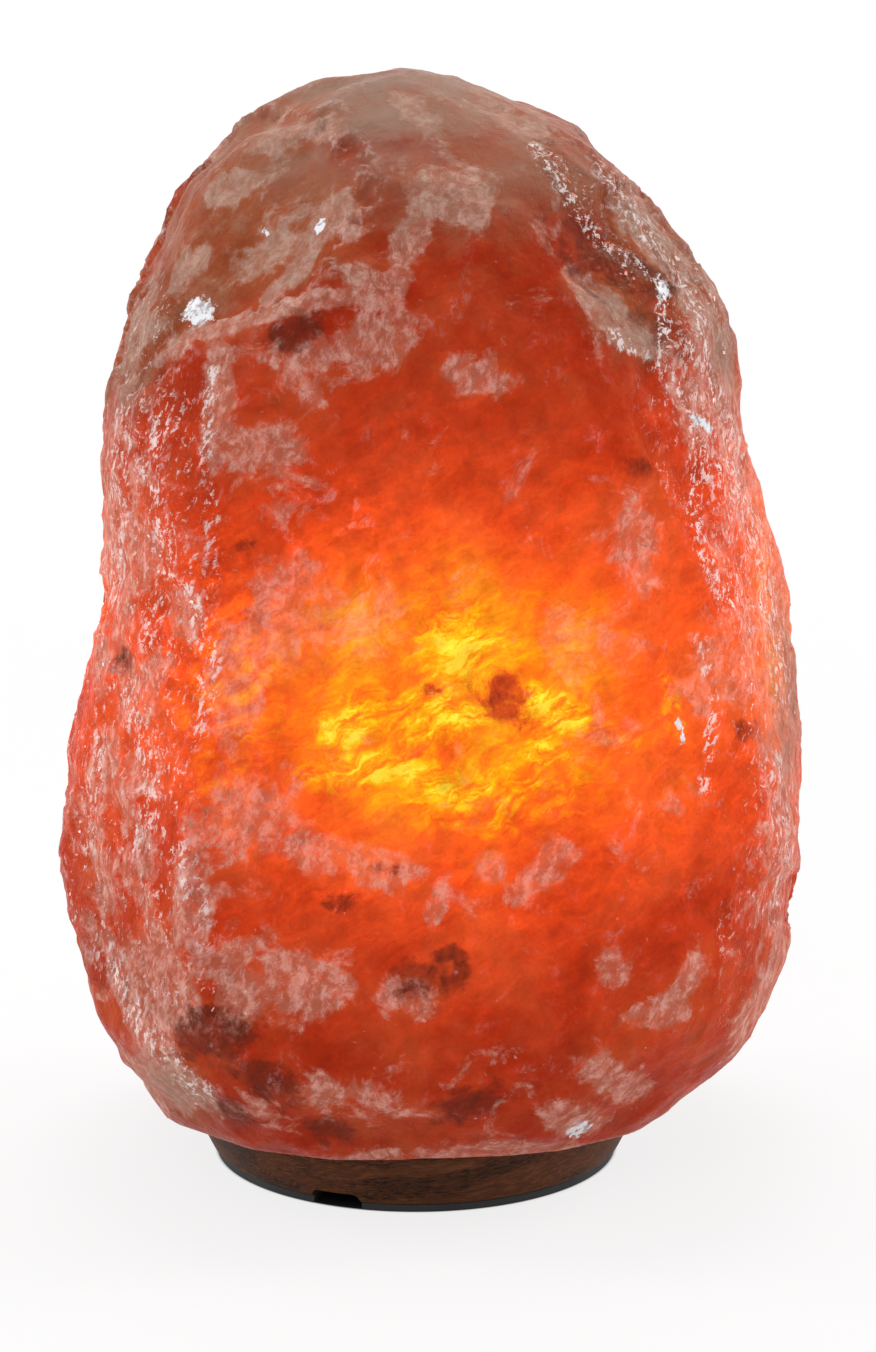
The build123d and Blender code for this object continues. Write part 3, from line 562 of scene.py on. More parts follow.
@dataclass(frozen=True)
class RockSalt:
    """Rock salt lit from inside, its light painted as emission: deep red where it is thick, yellow near the
    bulb, with hazy crystal patches, dark inclusions and rough faces with painted sparkles."""

    name: str = "rock_salt"
    glow_centre: Triple = (0.012, 0.0, 0.142)
    glow_clear: float = 0.070       # distance from there within which the light is whole
    glow_reach: float = 0.058       # distance past that at which half of it is left
    glow_squash: Triple = (0.84, 0.86, 1.05)
    clear: Colour = (0.20, 0.012, 0.002)
    clear_pale: Colour = (0.29, 0.030, 0.008)
    milky: Colour = (0.38, 0.080, 0.024)
    hazy: Colour = (0.38, 0.135, 0.088)
    hazy_pale: Colour = (0.66, 0.38, 0.31)
    # colours of the salt painted as unlit, with no glow through it
    tan: Colour = (0.30, 0.066, 0.022)
    tan_pale: Colour = (0.33, 0.135, 0.075)
    tan_deep: Colour = (0.22, 0.045, 0.015)
    tan_light: Colour = (0.44, 0.26, 0.19)
    tan_haze: Colour = (0.43, 0.285, 0.215)
    # painted light from above: grey of the salt's top
    top_lit_grey: Colour = (0.35, 0.25, 0.19)
    stain: Colour = (0.095, 0.018, 0.010)
    # colour of the painted sparkles and of the strewn pale grains
    painted_sparkle_white: Colour = (0.92, 0.80, 0.77)
    # colours of the painted highlights
    glint: Colour = (0.95, 0.96, 1.0)
    glint_dim: Colour = (0.5, 0.42, 0.42)
    shine: float = 0.03
    relief: float = 1.2                             # of the bumps, in millimetres
    splinter: Triple = (1.0, 1.0, 0.40)             # how glitter is stretched
    rim_heights: Pair = (0.262, 0.3)                # between which the unlit salt is painted greyer, as lit from above
    speck_heights: Pair = (0.06, 0.12)              # between which the strewn grains get fewer
    ramp: tuple = (
        (0.00, (0.030, 0.002, 0.001)),
        (0.12, (0.10, 0.006, 0.002)),
        (0.30, (0.37, 0.024, 0.004)),
        (0.45, (0.68, 0.055, 0.007)),
        (0.58, (0.86, 0.10, 0.008)),
        (0.68, (0.95, 0.17, 0.005)),
        (0.78, (1.0, 0.29, 0.003)),
        (0.88, (1.0, 0.44, 0.002)),
        (0.95, (1.0, 0.58, 0.006)),
        (1.00, (1.0, 0.74, 0.040)),
    )

    def glow(self, w: Wiring, point: Socket, fibres: Socket, flare: Socket, dimmed: Socket) -> Socket:
        """How much of the bulb's light comes through, from 0 to 1.

        Args:
            w: The material's wiring.
            point: The coordinates.
            fibres: The salt's fibrous streaks.
            flare: The mask of the brightest spots.
            dimmed: The light that inclusions hold back.

        Returns:
            The light, with fibres and veins in it.
        """
        apart = w.vector("MULTIPLY", w.vector("SUBTRACT", point, self.glow_centre), self.glow_squash)
        square = w.vector("DOT_PRODUCT", apart, apart)
        past = w.maths("MAXIMUM", w.minus(square, self.glow_clear**2), 0.0)
        fall = w.maths("DIVIDE", 1.0, w.plus(1.0, w.maths("DIVIDE", past, self.glow_reach**2)))
        broad = w.noise(w.warped(point, 20.0, 9.0, 2.0), 26.0, 3.0, 0.5)
        share = w.plus(0.46, w.times(broad, 0.5))
        light = w.times(w.times(fall, share), 1.06)
        ripple = w.times(w.minus(fibres, 0.5), w.times(fall, 0.62))
        light = w.plus(light, ripple)
        spark = w.times(flare, w.step(fibres, 0.36, 0.62, (0.03, 0.25)))
        light = w.plus(light, spark)
        return w.maths("MULTIPLY", light, w.minus(1.0, dimmed), clamp=True)

    def masks(self, w: Wiring, point: Socket) -> dict[str, Socket]:
        """The torn patches: haze, a thinner veil, stain, unlit salt with painted shade, rough, painted glint,
        frost glints and flare.

        Args:
            w: The material's wiring.
            point: The coordinates.

        Returns:
            Each mask by its name.
        """
        painted = {kind.value: w.add("ShaderNodeAttribute", attribute_name=kind.value).outputs["Fac"]
                   for kind in Paint if kind is not Paint.CHIP}
        painted["haze"] = w.plus(w.times(painted["haze"], 0.95), 0.10)
        painted["veil"] = w.plus(painted["haze"], 0.16)
        torn = RaggedPatch()
        return {name: torn.place(w, point, cover=painted[name], **tear)["Mask"]
                for name, tear in TEARS.items()}

    def cells(self, w: Wiring, point: Socket, scale: float) -> bpy.types.NodeOutputs:
        """Cells that fill space, some to a metre."""
        inputs = {"Vector": point, "Scale": scale}
        return w.add("ShaderNodeTexVoronoi", inputs, feature="F1").outputs

    def chips(self, w: Wiring, point: Socket) -> tuple[Socket, Socket]:
        """Broken facets: their height, and the number that each facet has of its own."""
        cells = self.cells(w, w.warped(point, 6.0, 2.6, 4.0), 165.0)
        small = self.cells(w, w.warped(point, 3.0, 1.2, 3.0), 430.0)
        height = w.plus(cells["Distance"], w.times(small["Distance"], 0.4))
        own = w.add("ShaderNodeSeparateColor", {"Color": cells["Color"]}).outputs[0]
        return height, own

    def specks(self, w: Wiring, point: Socket) -> Socket:
        """Mask of small pale grains strewn over the salt."""
        cells = self.cells(w, w.warped(point, 1.6, 1.1), 380.0)
        own = w.add("ShaderNodeSeparateColor", {"Color": cells["Color"]})
        size = w.times(own.outputs[1], 0.2)
        dot = w.step(cells["Distance"], size, w.plus(size, 0.1), (1.0, 0.0))
        return w.times(dot, w.step(own.outputs[0], 0.86, 0.93))

    def skin(self, w: Wiring, point: Socket) -> dict[str, Socket]:
        """The textures that colour, light and relief share, each by its name."""
        streaked = w.stretched(w.warped(point, 9.0, 3.0), (8.0, -18.0, 0.0), (1.0, 1.0, 0.6))
        fibrous = w.stretched(w.warped(point, 16.0, 7.0, 4.0), (0.0, 28.0, 0.0), (0.3, 0.6, 1.0))
        glittering = w.stretched(w.warped(point, 5.0, 2.4), (0.0, -26.0, 0.0), self.splinter)
        sparkling = w.stretched(w.warped(point, 4.0, 1.6), (0.0, -30.0, 0.0), self.splinter)
        return {
            "streaks": w.noise(streaked, 3.2, 6.0, 0.72),
            "fibres": w.noise(fibrous, 3.8, 6.0, 0.7, 0.7),
            "grains": w.noise(point, 1.1, 3.0, 0.6),
            "cloud": w.noise(w.warped(point, 22.0, 8.0, 4.0), 12.0, 6.0, 0.68),
            "mottle": w.noise(w.warped(point, 7.0, 3.0), 4.2, 6.0, 0.74),
            "glitter": w.noise(glittering, 1.7, 5.0, 0.74),
            "sparkle": w.noise(sparkling, 1.8, 4.0, 0.72),
            "level": w.add("ShaderNodeSeparateXYZ", {"Vector": point}).outputs["Z"],
            "ridge": w.add("ShaderNodeAttribute", attribute_name="ridge").outputs["Fac"],
        }

    def tanned(self, w: Wiring, skin: dict[str, Socket]) -> Socket:
        """Colour of the salt that the bulb doesn't light through, painted greyer at the top as lit from
        above.
        """
        tan = w.mixed(w.step(skin["cloud"], 0.44, 0.70), self.tan, self.tan_pale)
        tan = w.mixed(w.step(skin["mottle"], 0.42, 0.56, (0.32, 0.0)), tan, self.tan_deep)
        tan = w.mixed(w.step(skin["mottle"], 0.56, 0.70, (0.0, 0.4)), tan, self.tan_light)
        # painted light from above: greyer towards the top
        top_lit_grey = w.step(skin["level"], *self.rim_heights)
        return w.mixed(w.times(top_lit_grey, 0.75), tan, self.top_lit_grey)

    def sparkles_and_specks(self, w: Wiring, point: Socket, skin: dict[str, Socket], mask: dict[str, Socket]) -> Socket:
        """Mask of the painted sparkles and of the strewn pale grains.

        Args:
            w: The material's wiring.
            point: The coordinates.
            skin: The shared textures.
            mask: The torn patches.

        Returns:
            Painted glints on rough faces, painted highlights on crests, strewn pale grains and frost glints
            in one.
        """
        glitter = skin["glitter"]
        # painted glints on the rough faces
        glint_flecks = w.times(mask["rough"], w.step(glitter, 0.56, 0.64),
                         w.step(skin["cloud"], 0.36, 0.6, (0.25, 1.0)))
        # painted highlights on the ridges' crests
        crest_highlight = w.times(w.step(skin["ridge"], 0.5, 1.8), w.step(glitter, 0.45, 0.62, (0.0, 0.22)))
        specks = w.times(self.specks(w, point), w.step(skin["mottle"], 0.46, 0.64, (0.0, 0.6)),
                         w.step(skin["level"], *self.speck_heights, (1.0, 0.3)))
        # painted glints where the frost paint lies
        frost = w.times(mask["frost"], w.step(skin["sparkle"], 0.52, 0.58))
        return reduce(lambda most, spots: w.maths("MAXIMUM", most, spots), (glint_flecks, crest_highlight, specks, frost))

    def material(self) -> bpy.types.Material:
        """Builds the material."""
        material, w, shader = new_material(self.name)
        point = object_point(w)
        mask, skin = self.masks(w, point), self.skin(w, point)
        chips, own = self.chips(w, point)
        streaks, mottle, ridge = skin["streaks"], skin["mottle"], skin["ridge"]
        stain = w.times(mask["stain"], w.step(streaks, 0.32, 0.62, (0.95, 0.55)))
        lit = self.glow(w, point, skin["fibres"], mask["flare"], w.times(stain, 0.5))

        body = w.mixed(w.step(skin["cloud"], 0.38, 0.68), self.clear, self.clear_pale)
        body = w.mixed(mask["tan"], body, self.tanned(w, skin))
        body = w.mixed(w.times(mask["veil"], 0.6), body, self.milky)
        pale = w.mixed(w.step(streaks, 0.42, 0.62), self.hazy, self.hazy_pale)
        pale = w.mixed(w.times(mask["tan"], 0.65), pale, self.tan_haze)
        thick = w.times(w.step(mottle, 0.36, 0.58, (0.45, 0.96)), w.step(lit, 0.3, 0.8, (1.0, 0.5)))
        haze = w.times(mask["haze"], thick)
        body = w.mixed(haze, body, pale)
        body = w.mixed(stain, body, self.stain)
        # painted sparkles and pale grains, mixed into the colour
        sparkles_and_specks = self.sparkles_and_specks(w, point, skin, mask)
        body = w.mixed(w.times(sparkles_and_specks, 0.92), body, self.painted_sparkle_white)
        # painted highlights, near white, where the glint paint lies
        painted_glint = w.mixed(w.step(skin["sparkle"], 0.42, 0.5), self.glint_dim, self.glint)
        w.feed(shader.inputs["Base Color"], w.mixed(mask["glint"], body, painted_glint))

        haze = w.maths("MAXIMUM", haze, w.times(mask["veil"], 0.3))
        # painted shade: the glow is darker in creases and between chips, lighter on ridges, and differs facet
        # by facet
        shade = w.times(w.step(ridge, -1.2, 1.2, (0.84, 1.12)), w.step(chips, 0.1, 0.9, (0.86, 1.08)),
                        w.step(own, 0.0, 1.0, (0.9, 1.06)))
        held = ((haze, 0.52), (stain, 0.5), (mask["tan"], 0.9), (sparkles_and_specks, 0.6), (mask["glint"], 1.0))
        for part, share in held:
            shade = w.times(shade, w.minus(1.0, w.times(part, share)))
        shade = w.times(shade, w.step(skin["grains"], 0.3, 0.7, (0.9, 1.06)))
        # painted light: the bulb's light through the salt, as emission
        w.feed(shader.inputs["Emission Color"], w.enlarged(w.ramp(lit, self.ramp), shade))
        shader.inputs["Emission Strength"].default_value = 1.0

        w.feed(shader.inputs["Roughness"], w.step(haze, 0.0, 0.8, (0.26, 0.48)))
        shader.inputs["IOR"].default_value = SALT_IOR
        shader.inputs["Specular IOR Level"].default_value = self.shine
        coarse = w.times(chips, w.step(mask["rough"], 0.0, 1.0, (0.5, 1.3)))
        fine = w.times(streaks, w.step(mask["rough"], 0.0, 1.0, (0.5, 1.2)))
        fine = w.plus(fine, w.times(skin["grains"], 0.2))
        roughen(w, shader, w.plus(coarse, fine), 0.9, self.relief)
        return material


@dataclass(frozen=True)
class ShardSalt:
    """Frosty shards of salt that catch the lamps."""

    name: str = "shard_salt"
    deep: Colour = (0.42, 0.10, 0.055)
    frosty: Colour = (0.66, 0.40, 0.34)
    glow: Colour = (0.35, 0.035, 0.010)
    glow_dim: Colour = (0.1, 0.02, 0.01)

    def material(self) -> bpy.types.Material:
        """Builds the material."""
        material, w, shader = new_material(self.name)
        point = object_point(w)
        cloud = w.noise(point, 2.4, 2.0)
        w.feed(shader.inputs["Base Color"], w.mixed(w.step(cloud, 0.4, 0.6), self.deep, self.frosty))
        # painted light: the bulb's glow through the shards, as emission
        light = w.mixed(w.step(cloud, 0.35, 0.6), self.glow, self.glow_dim)
        w.feed(shader.inputs["Emission Color"], light)
        shader.inputs["Emission Strength"].default_value = 1.0
        w.feed(shader.inputs["Roughness"], w.step(cloud, 0.3, 0.7, (0.1, 0.25)))
        shader.inputs["IOR"].default_value = SALT_IOR
        return material


ZINC = Metal("zinc_steel", (0.56, 0.57, 0.58), (0.30, 0.28, 0.24), 0.34)
SPRING = Metal("spring_steel", (0.50, 0.51, 0.53), (0.22, 0.24, 0.30), 0.24, 0.5, 0.2)
BRASS = Metal("brass", (0.72, 0.50, 0.20), (0.36, 0.22, 0.09), 0.28, 0.45)
CAP_METAL = Metal("cap_metal", (0.70, 0.70, 0.69), (0.45, 0.44, 0.42), 0.3, 0.3)
WIRE = Metal("wire", (0.55, 0.46, 0.36), (0.3, 0.24, 0.18), 0.32)
BLACK_PLASTIC = Moulding("black_plastic", (0.012, 0.011, 0.011), (0.035, 0.033, 0.032), 0.36, 0.35, 0.03)
PLUG_PLASTIC = Moulding("plug_plastic", (0.42, 0.40, 0.36), (0.30, 0.28, 0.25), 0.55, 0.6, 0.05)
RUBBER = Moulding("black_rubber", (0.010, 0.010, 0.011), (0.026, 0.026, 0.028), 0.7, 0.45, 0.10)
PORCELAIN = Moulding("porcelain", (0.78, 0.76, 0.71), (0.68, 0.65, 0.58), 0.14, 2.5, 0.05, 0.4)
CAP_GLASS = Moulding("cap_glass", (0.012, 0.010, 0.016), (0.03, 0.026, 0.035), 0.12, 1.5, 0.03, 0.3)
CLEAR_GLASS = BlownGlass("bulb_glass")
STEM_GLASS = BlownGlass("stem_glass", (0.96, 0.99, 0.97), 4.0, 0.2)


# ---------------------------------------------------------------- pieces


def link(name: str, mesh: bpy.types.Mesh) -> bpy.types.Object:
    """Puts a mesh in the scene as an object at the origin."""
    piece = bpy.data.objects.new(name, mesh)
    bpy.context.scene.collection.objects.link(piece)
    return piece


def dress(node: str, material: bpy.types.Material) -> None:
    """Gives a CAD node its finish."""
    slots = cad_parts[node].data.materials
    slots.clear()
    slots.append(material)
    log.info("node %s wears %s", node, material.name)


def register(piece: bpy.types.Object, body: Body, nodes: Sequence[str]) -> None:
    """Tells the frame what a finished piece rides on and stands for.

    Args:
        piece: The piece.
        body: The body that it rides on.
        nodes: The CAD nodes that it replaces.
    """
    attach(piece, body.value)
    if nodes:
        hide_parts(*nodes)
    log.info("piece %s has %d faces", piece.name, len(piece.data.polygons))


def merged_copy(node: str) -> bpy.types.Mesh:
    """Copy of a CAD node's mesh with its triangles joined."""
    shape = bmesh.new()
    shape.from_mesh(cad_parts[node].data)
    bmesh.ops.remove_doubles(shape, verts=shape.verts, dist=0.001 * MM)
    mesh = bpy.data.meshes.new(node)
    shape.to_mesh(mesh)
    shape.free()
    return mesh


def vertex_table(mesh: bpy.types.Mesh, what: str) -> np.ndarray:
    """Places or normals of a mesh's vertices, one a row."""
    table = np.zeros(3 * len(mesh.vertices), np.float32)
    source = mesh.vertices if what == "co" else mesh.vertex_normals
    source.foreach_get("co" if what == "co" else "vector", table)
    return table.reshape(-1, 3).astype(float)


def rise(values: np.ndarray, start: float, span: float) -> np.ndarray:
    """Goes from 0 at a start to 1 a span further on."""
    return np.clip((values - start) / span, 0.0, 1.0)


@dataclass(frozen=True)
class PhotoCamera:
    """Camera that stands where the photograph was taken from."""

    place: Triple = (0.0, -1.70667, 0.60202)
    target: Triple = (0.0061, 0.0, 0.13449)
    focal_pixels: float = 6508.27
    sensor_mm: float = 36.0

    def axes(self) -> tuple[Vector, Vector, Vector]:
        """Forward, right and up directions of the view."""
        forward = (Vector(self.target) - Vector(self.place)).normalized()
        right = forward.cross(Vector((0, 0, 1))).normalized()
        return forward, right, right.cross(forward)

    def pixels(self, points: np.ndarray) -> np.ndarray:
        """Pixels of the photograph's frame where points show.

        Args:
            points: An array of points, one a row, in metres.

        Returns:
            Their pixels from the frame's upper left corner, one a row.
        """
        forward, right, up = (np.array(axis) for axis in self.axes())
        seen = points - np.array(self.place)
        depth = seen @ forward
        across = self.focal_pixels * (seen @ right) / depth + PHOTO_WIDTH / 2
        down = PHOTO_HEIGHT / 2 - self.focal_pixels * (seen @ up) / depth
        return np.stack([across, down], axis=1)

    def build(self) -> bpy.types.Object:
        """Makes the camera the scene's own and returns it."""
        data = bpy.data.cameras.new("photo_camera")
        data.sensor_width = self.sensor_mm
        data.lens = self.focal_pixels * self.sensor_mm / max(PHOTO_WIDTH, PHOTO_HEIGHT)
        data.clip_start = 0.05
        data.clip_end = 50.0
        camera = bpy.data.objects.new("photo_camera", data)
        camera.location = self.place
        camera.rotation_mode = "QUATERNION"
        camera.rotation_quaternion = self.axes()[0].to_track_quat("-Z", "Y")
        bpy.context.scene.collection.objects.link(camera)
        bpy.context.scene.camera = camera
        return camera


def soft_cover(distance: np.ndarray, strength: float) -> np.ndarray:
    """Cover at a distance from the middle, in reaches: whole within a half, a half at one."""
    return strength * np.clip(1.5 - distance, 0.0, 1.0)


@dataclass(frozen=True)
class Patch:
    """A spot painted on the salt where the photograph shows it."""

    kind: Paint
    x: float            # its middle, in the photograph's pixels
    y: float
    wide: float         # its reach either way
    high: float
    turn: float = 0.0   # degrees, clockwise as seen
    strength: float = 1.0

    def cover(self, pixels: np.ndarray) -> np.ndarray:
        """How far the patch covers points at some pixels, a half at its own edge."""
        angle = math.radians(self.turn)
        across, down = pixels[:, 0] - self.x, pixels[:, 1] - self.y
        along = (across * math.cos(angle) + down * math.sin(angle)) / self.wide
        over = (down * math.cos(angle) - across * math.sin(angle)) / self.high
        return soft_cover(np.hypot(along, over), self.strength)


@dataclass(frozen=True)
class Seam:
    """A ragged line painted on the salt where the photograph shows it."""

    kind: Paint
    points: tuple[Pair, ...]    # in the photograph's pixels
    reach: float
    strength: float = 1.0

    def cover(self, pixels: np.ndarray) -> np.ndarray:
        """How far the seam covers points at some pixels, a half at its own edge."""
        nearest = np.full(len(pixels), np.inf)
        for start, end in zip(self.points, self.points[1:]):
            foot, along = np.array(start), np.subtract(end, start)
            share = np.clip((pixels - foot) @ along / (along @ along), 0.0, 1.0)
            nearest = np.minimum(nearest, np.hypot(*(pixels - foot - share[:, None] * along).T))
        return soft_cover(nearest / self.reach, self.strength)


SEAMS = (
    # Painted glints along the crests of the right-hand ridges
    Seam(Paint.FROST, ((535, 150), (572, 205), (600, 240), (640, 262), (662, 292)), 6, 1.15),
    Seam(Paint.FROST, ((666, 300), (664, 365), (700, 428), (694, 520), (722, 600)), 8, 1.15),
    Seam(Paint.FROST, ((600, 165), (642, 215), (690, 280), (712, 380), (742, 450)), 5, 0.9),
    Seam(Paint.FROST, ((612, 335), (640, 352), (668, 378)), 7, 0.9),
    Seam(Paint.FROST, ((724, 440), (752, 520), (768, 600), (782, 700)), 9, 0.8),
    Seam(Paint.FROST, ((700, 640), (714, 700), (706, 790)), 6, 0.8),
    Seam(Paint.FROST, ((770, 760), (784, 840), (778, 900)), 9, 0.75),
    # Painted glints along the crests down the left flank
    Seam(Paint.FROST, ((212, 372), (206, 450), (212, 540), (204, 640)), 7, 0.95),
    Seam(Paint.FROST, ((165, 400), (150, 470), (170, 560), (150, 640)), 10, 0.85),
    Seam(Paint.FROST, ((122, 410), (118, 520), (112, 600)), 9, 0.8),
    Seam(Paint.FROST, ((188, 590), (214, 660), (196, 740)), 9, 1.0),
    Seam(Paint.FROST, ((126, 690), (150, 780), (138, 850)), 9, 0.85),
    Seam(Paint.FROST, ((96, 740), (92, 850)), 8, 0.7),
    Seam(Paint.FROST, ((182, 850), (196, 900), (204, 945)), 12, 0.8),
    Seam(Paint.FROST, ((104, 950), (135, 1010), (170, 1060), (205, 1098)), 12, 0.7),
    # Ledges of pale salt, the first with a painted highlight along its edge
    Seam(Paint.HAZE, ((150, 362), (182, 338), (230, 327), (300, 300), (345, 296)), 7, 1.1),
    Seam(Paint.HAZE, ((345, 200), (318, 226), (300, 262), (262, 300)), 8, 0.95),
    Seam(Paint.HAZE, ((570, 272), (590, 306), (622, 330), (652, 352)), 9, 0.9),
)
# Spots of each paint: the middle's x and y in the photograph's pixels, the reach across and down,
# the turn in degrees, and the strength
SPOTS = {
    Paint.HAZE: (
        # hazy crystal: the tongue over the front and the veil round it
        (450, 192, 38, 26, 24, 0.95), (420, 215, 14, 44, 10, 1.0), (398, 268, 12, 52, 12, 1.05),
        (372, 288, 24, 28, 0, 0.9), (372, 346, 34, 28, -14, 1.15), (330, 210, 16, 36, 42, 0.9),
        (352, 225, 14, 20, 0, 0.9), (250, 318, 96, 9, -15, 0.95), (175, 345, 26, 10, -40, 0.9),
        (410, 110, 26, 14, 40, 0.7), (218, 410, 14, 62, 0, 1.0), (262, 452, 44, 30, -20, 0.85),
        (300, 375, 40, 30, -20, 0.7), (480, 378, 38, 18, 8, 0.75), (640, 545, 34, 50, 10, 0.62),
        # round the glow
        (236, 690, 24, 66, -6, 1.0), (300, 620, 70, 46, -10, 0.7), (372, 618, 46, 40, 0, 0.6),
        (565, 640, 22, 48, 4, 0.62), (715, 665, 34, 48, 0, 0.78), (245, 810, 50, 40, -14, 0.78),
        # below the glow
        (340, 862, 70, 20, 8, 0.9), (437, 902, 10, 24, 8, 0.9), (545, 873, 40, 17, -32, 0.95),
        (495, 868, 16, 16, 0, 0.8), (300, 985, 64, 32, -8, 0.8), (408, 995, 30, 20, 16, 0.85),
        (352, 1110, 70, 24, 8, 0.66), (690, 975, 14, 36, 24, 0.9), (665, 1015, 34, 14, -14, 0.85),
        (610, 968, 20, 16, 20, 0.7), (615, 1078, 32, 20, 14, 0.72), (572, 1118, 30, 16, 0, 0.9),
        (480, 1152, 150, 8, -2, 0.7),
        # left side
        (188, 618, 16, 26, 0, 1.1), (140, 690, 26, 44, 24, 0.9), (188, 905, 20, 56, 0, 1.1),
        (150, 985, 38, 54, -24, 1.2), (206, 965, 28, 14, 20, 1.0), (165, 1075, 44, 26, 36, 1.2),
        (236, 1000, 20, 30, 0, 0.95), (225, 960, 50, 12, -30, 0.85), (108, 520, 10, 90, 0, 0.8),
        (112, 960, 10, 60, -12, 0.75),
        # right side
        (765, 640, 26, 70, 4, 0.72), (786, 820, 13, 150, 2, 0.85), (760, 1000, 16, 60, 26, 0.8),
        (612, 315, 44, 20, 46, 0.85), (742, 450, 22, 100, -8, 0.95), (705, 395, 30, 50, -12, 0.7),
        (650, 212, 70, 24, 46, 0.75), (706, 320, 24, 70, -10, 0.8), (782, 620, 22, 130, -4, 1.2),
        # thin veils over the flanks
        (120, 560, 40, 190, 0, 0.46), (110, 830, 40, 150, 0, 0.46), (780, 760, 26, 260, 0, 0.42),
        # pale clouds in the upper salt
        (228, 188, 26, 20, -30, 0.85), (290, 128, 50, 14, -20, 0.8), (182, 262, 16, 30, 30, 0.8),
        (132, 330, 12, 50, 16, 0.8), (270, 240, 40, 20, -40, 0.66), (520, 118, 60, 14, 30, 0.7),
    ),
    Paint.FROST: (
        # painted glints over the upper right ridges
        (632, 205, 12, 60, -38, 0.6), (692, 372, 16, 52, -16, 0.62), (724, 486, 18, 60, -8, 0.6),
        (742, 600, 14, 50, -6, 0.55),
    ),
    Paint.STAIN: (
        # dark inclusions
        (203, 1032, 28, 22, 0, 1.3), (232, 1040, 30, 26, 0, 0.85), (268, 1082, 32, 16, 36, 1.0),
        (230, 1110, 30, 9, 34, 0.95), (330, 1130, 26, 12, 10, 0.75), (447, 955, 20, 7, 6, 1.1),
        (461, 975, 9, 16, 10, 1.1), (425, 985, 30, 24, 0, 0.7), (466, 1103, 32, 15, -26, 0.95),
        (297, 334, 25, 17, -20, 1.05), (340, 902, 18, 10, 0, 0.85), (386, 868, 14, 7, 0, 0.8),
        (505, 702, 30, 20, 30, 0.74), (432, 690, 14, 9, 0, 0.75), (662, 288, 15, 12, 0, 1.0),
        (645, 270, 22, 12, 30, 0.8), (585, 245, 60, 24, 44, 0.62), (640, 320, 50, 20, 44, 0.55),
        (247, 545, 12, 9, 0, 0.8), (117, 664, 13, 12, 0, 0.85), (640, 470, 24, 12, 10, 0.5),
        (748, 732, 10, 12, 0, 0.8),
    ),
    Paint.TAN: (
        # painted shade: salt that the lamp's light doesn't reach, with no glow
        (240, 200, 120, 100, -36, 1.1), (190, 285, 120, 44, -26, 1.1), (132, 340, 30, 70, 12, 1.1),
        (400, 105, 170, 42, 0, 1.1), (560, 165, 90, 44, 40, 0.95), (655, 245, 90, 50, 48, 1.0),
        (625, 318, 60, 34, 46, 0.95), (722, 330, 16, 70, -4, 0.8), (180, 1090, 50, 22, 36, 0.8),
        (430, 175, 170, 60, 0, 0.72), (790, 690, 26, 130, 0, 0.55),
    ),
    Paint.ROUGH: (
        # rough faces
        (140, 330, 34, 70, 14, 0.8), (158, 470, 58, 110, 0, 0.95), (160, 600, 56, 100, 0, 0.95),
        (150, 760, 60, 110, 0, 0.8), (150, 900, 56, 70, -6, 0.75), (180, 985, 46, 36, 20, 0.8),
        (575, 190, 18, 60, -36, 0.75), (640, 200, 24, 80, -40, 0.75), (625, 262, 20, 44, -30, 0.75),
        (700, 300, 30, 80, -12, 0.95), (690, 400, 30, 60, -24, 1.15), (725, 480, 34, 80, -10, 1.15),
        (745, 590, 28, 80, -10, 1.0), (752, 700, 22, 60, 0, 0.9), (765, 840, 20, 90, 0, 0.75),
    ),
    Paint.FLARE: (
        # brightest spots near the bulb
        (352, 722, 34, 20, -36, 1.0), (440, 715, 42, 28, -20, 0.95), (458, 650, 34, 40, 10, 0.85),
        (560, 712, 36, 18, 26, 1.15), (365, 768, 56, 16, -10, 1.0), (430, 778, 34, 16, 14, 0.95),
        (545, 752, 24, 16, -20, 0.9), (610, 735, 24, 12, 10, 0.8), (672, 705, 10, 34, -14, 0.85),
        (500, 800, 90, 30, 0, 0.55), (220, 700, 50, 130, 0, 0.6),
    ),
    Paint.GLINT: (
        # painted highlights: bright faces that mirror the lights, painted near white
        (195, 309, 14, 12, 10, 1.3), (316, 222, 4, 8, 30, 1.1), (262, 231, 3, 3, 0, 1.1),
        (680, 728, 3, 13, -16, 1.2), (662, 290, 5, 16, 0, 1.0), (705, 425, 14, 5, 40, 1.0),
        (578, 1128, 12, 7, -30, 0.9),
    ),
    Paint.CHIP: (
        # salt flaked off
        (235, 215, 125, 88, -32, 1.2), (150, 330, 34, 60, 24, 1.1), (655, 235, 60, 36, 46, 1.0),
        (795, 900, 14, 26, 0, 1.2), (92, 600, 14, 36, 0, 1.1), (330, 560, 60, 90, 10, 0.6),
    ),
}
PATCHES = tuple(Patch(kind, *spot) for kind, spots in SPOTS.items() for spot in spots)


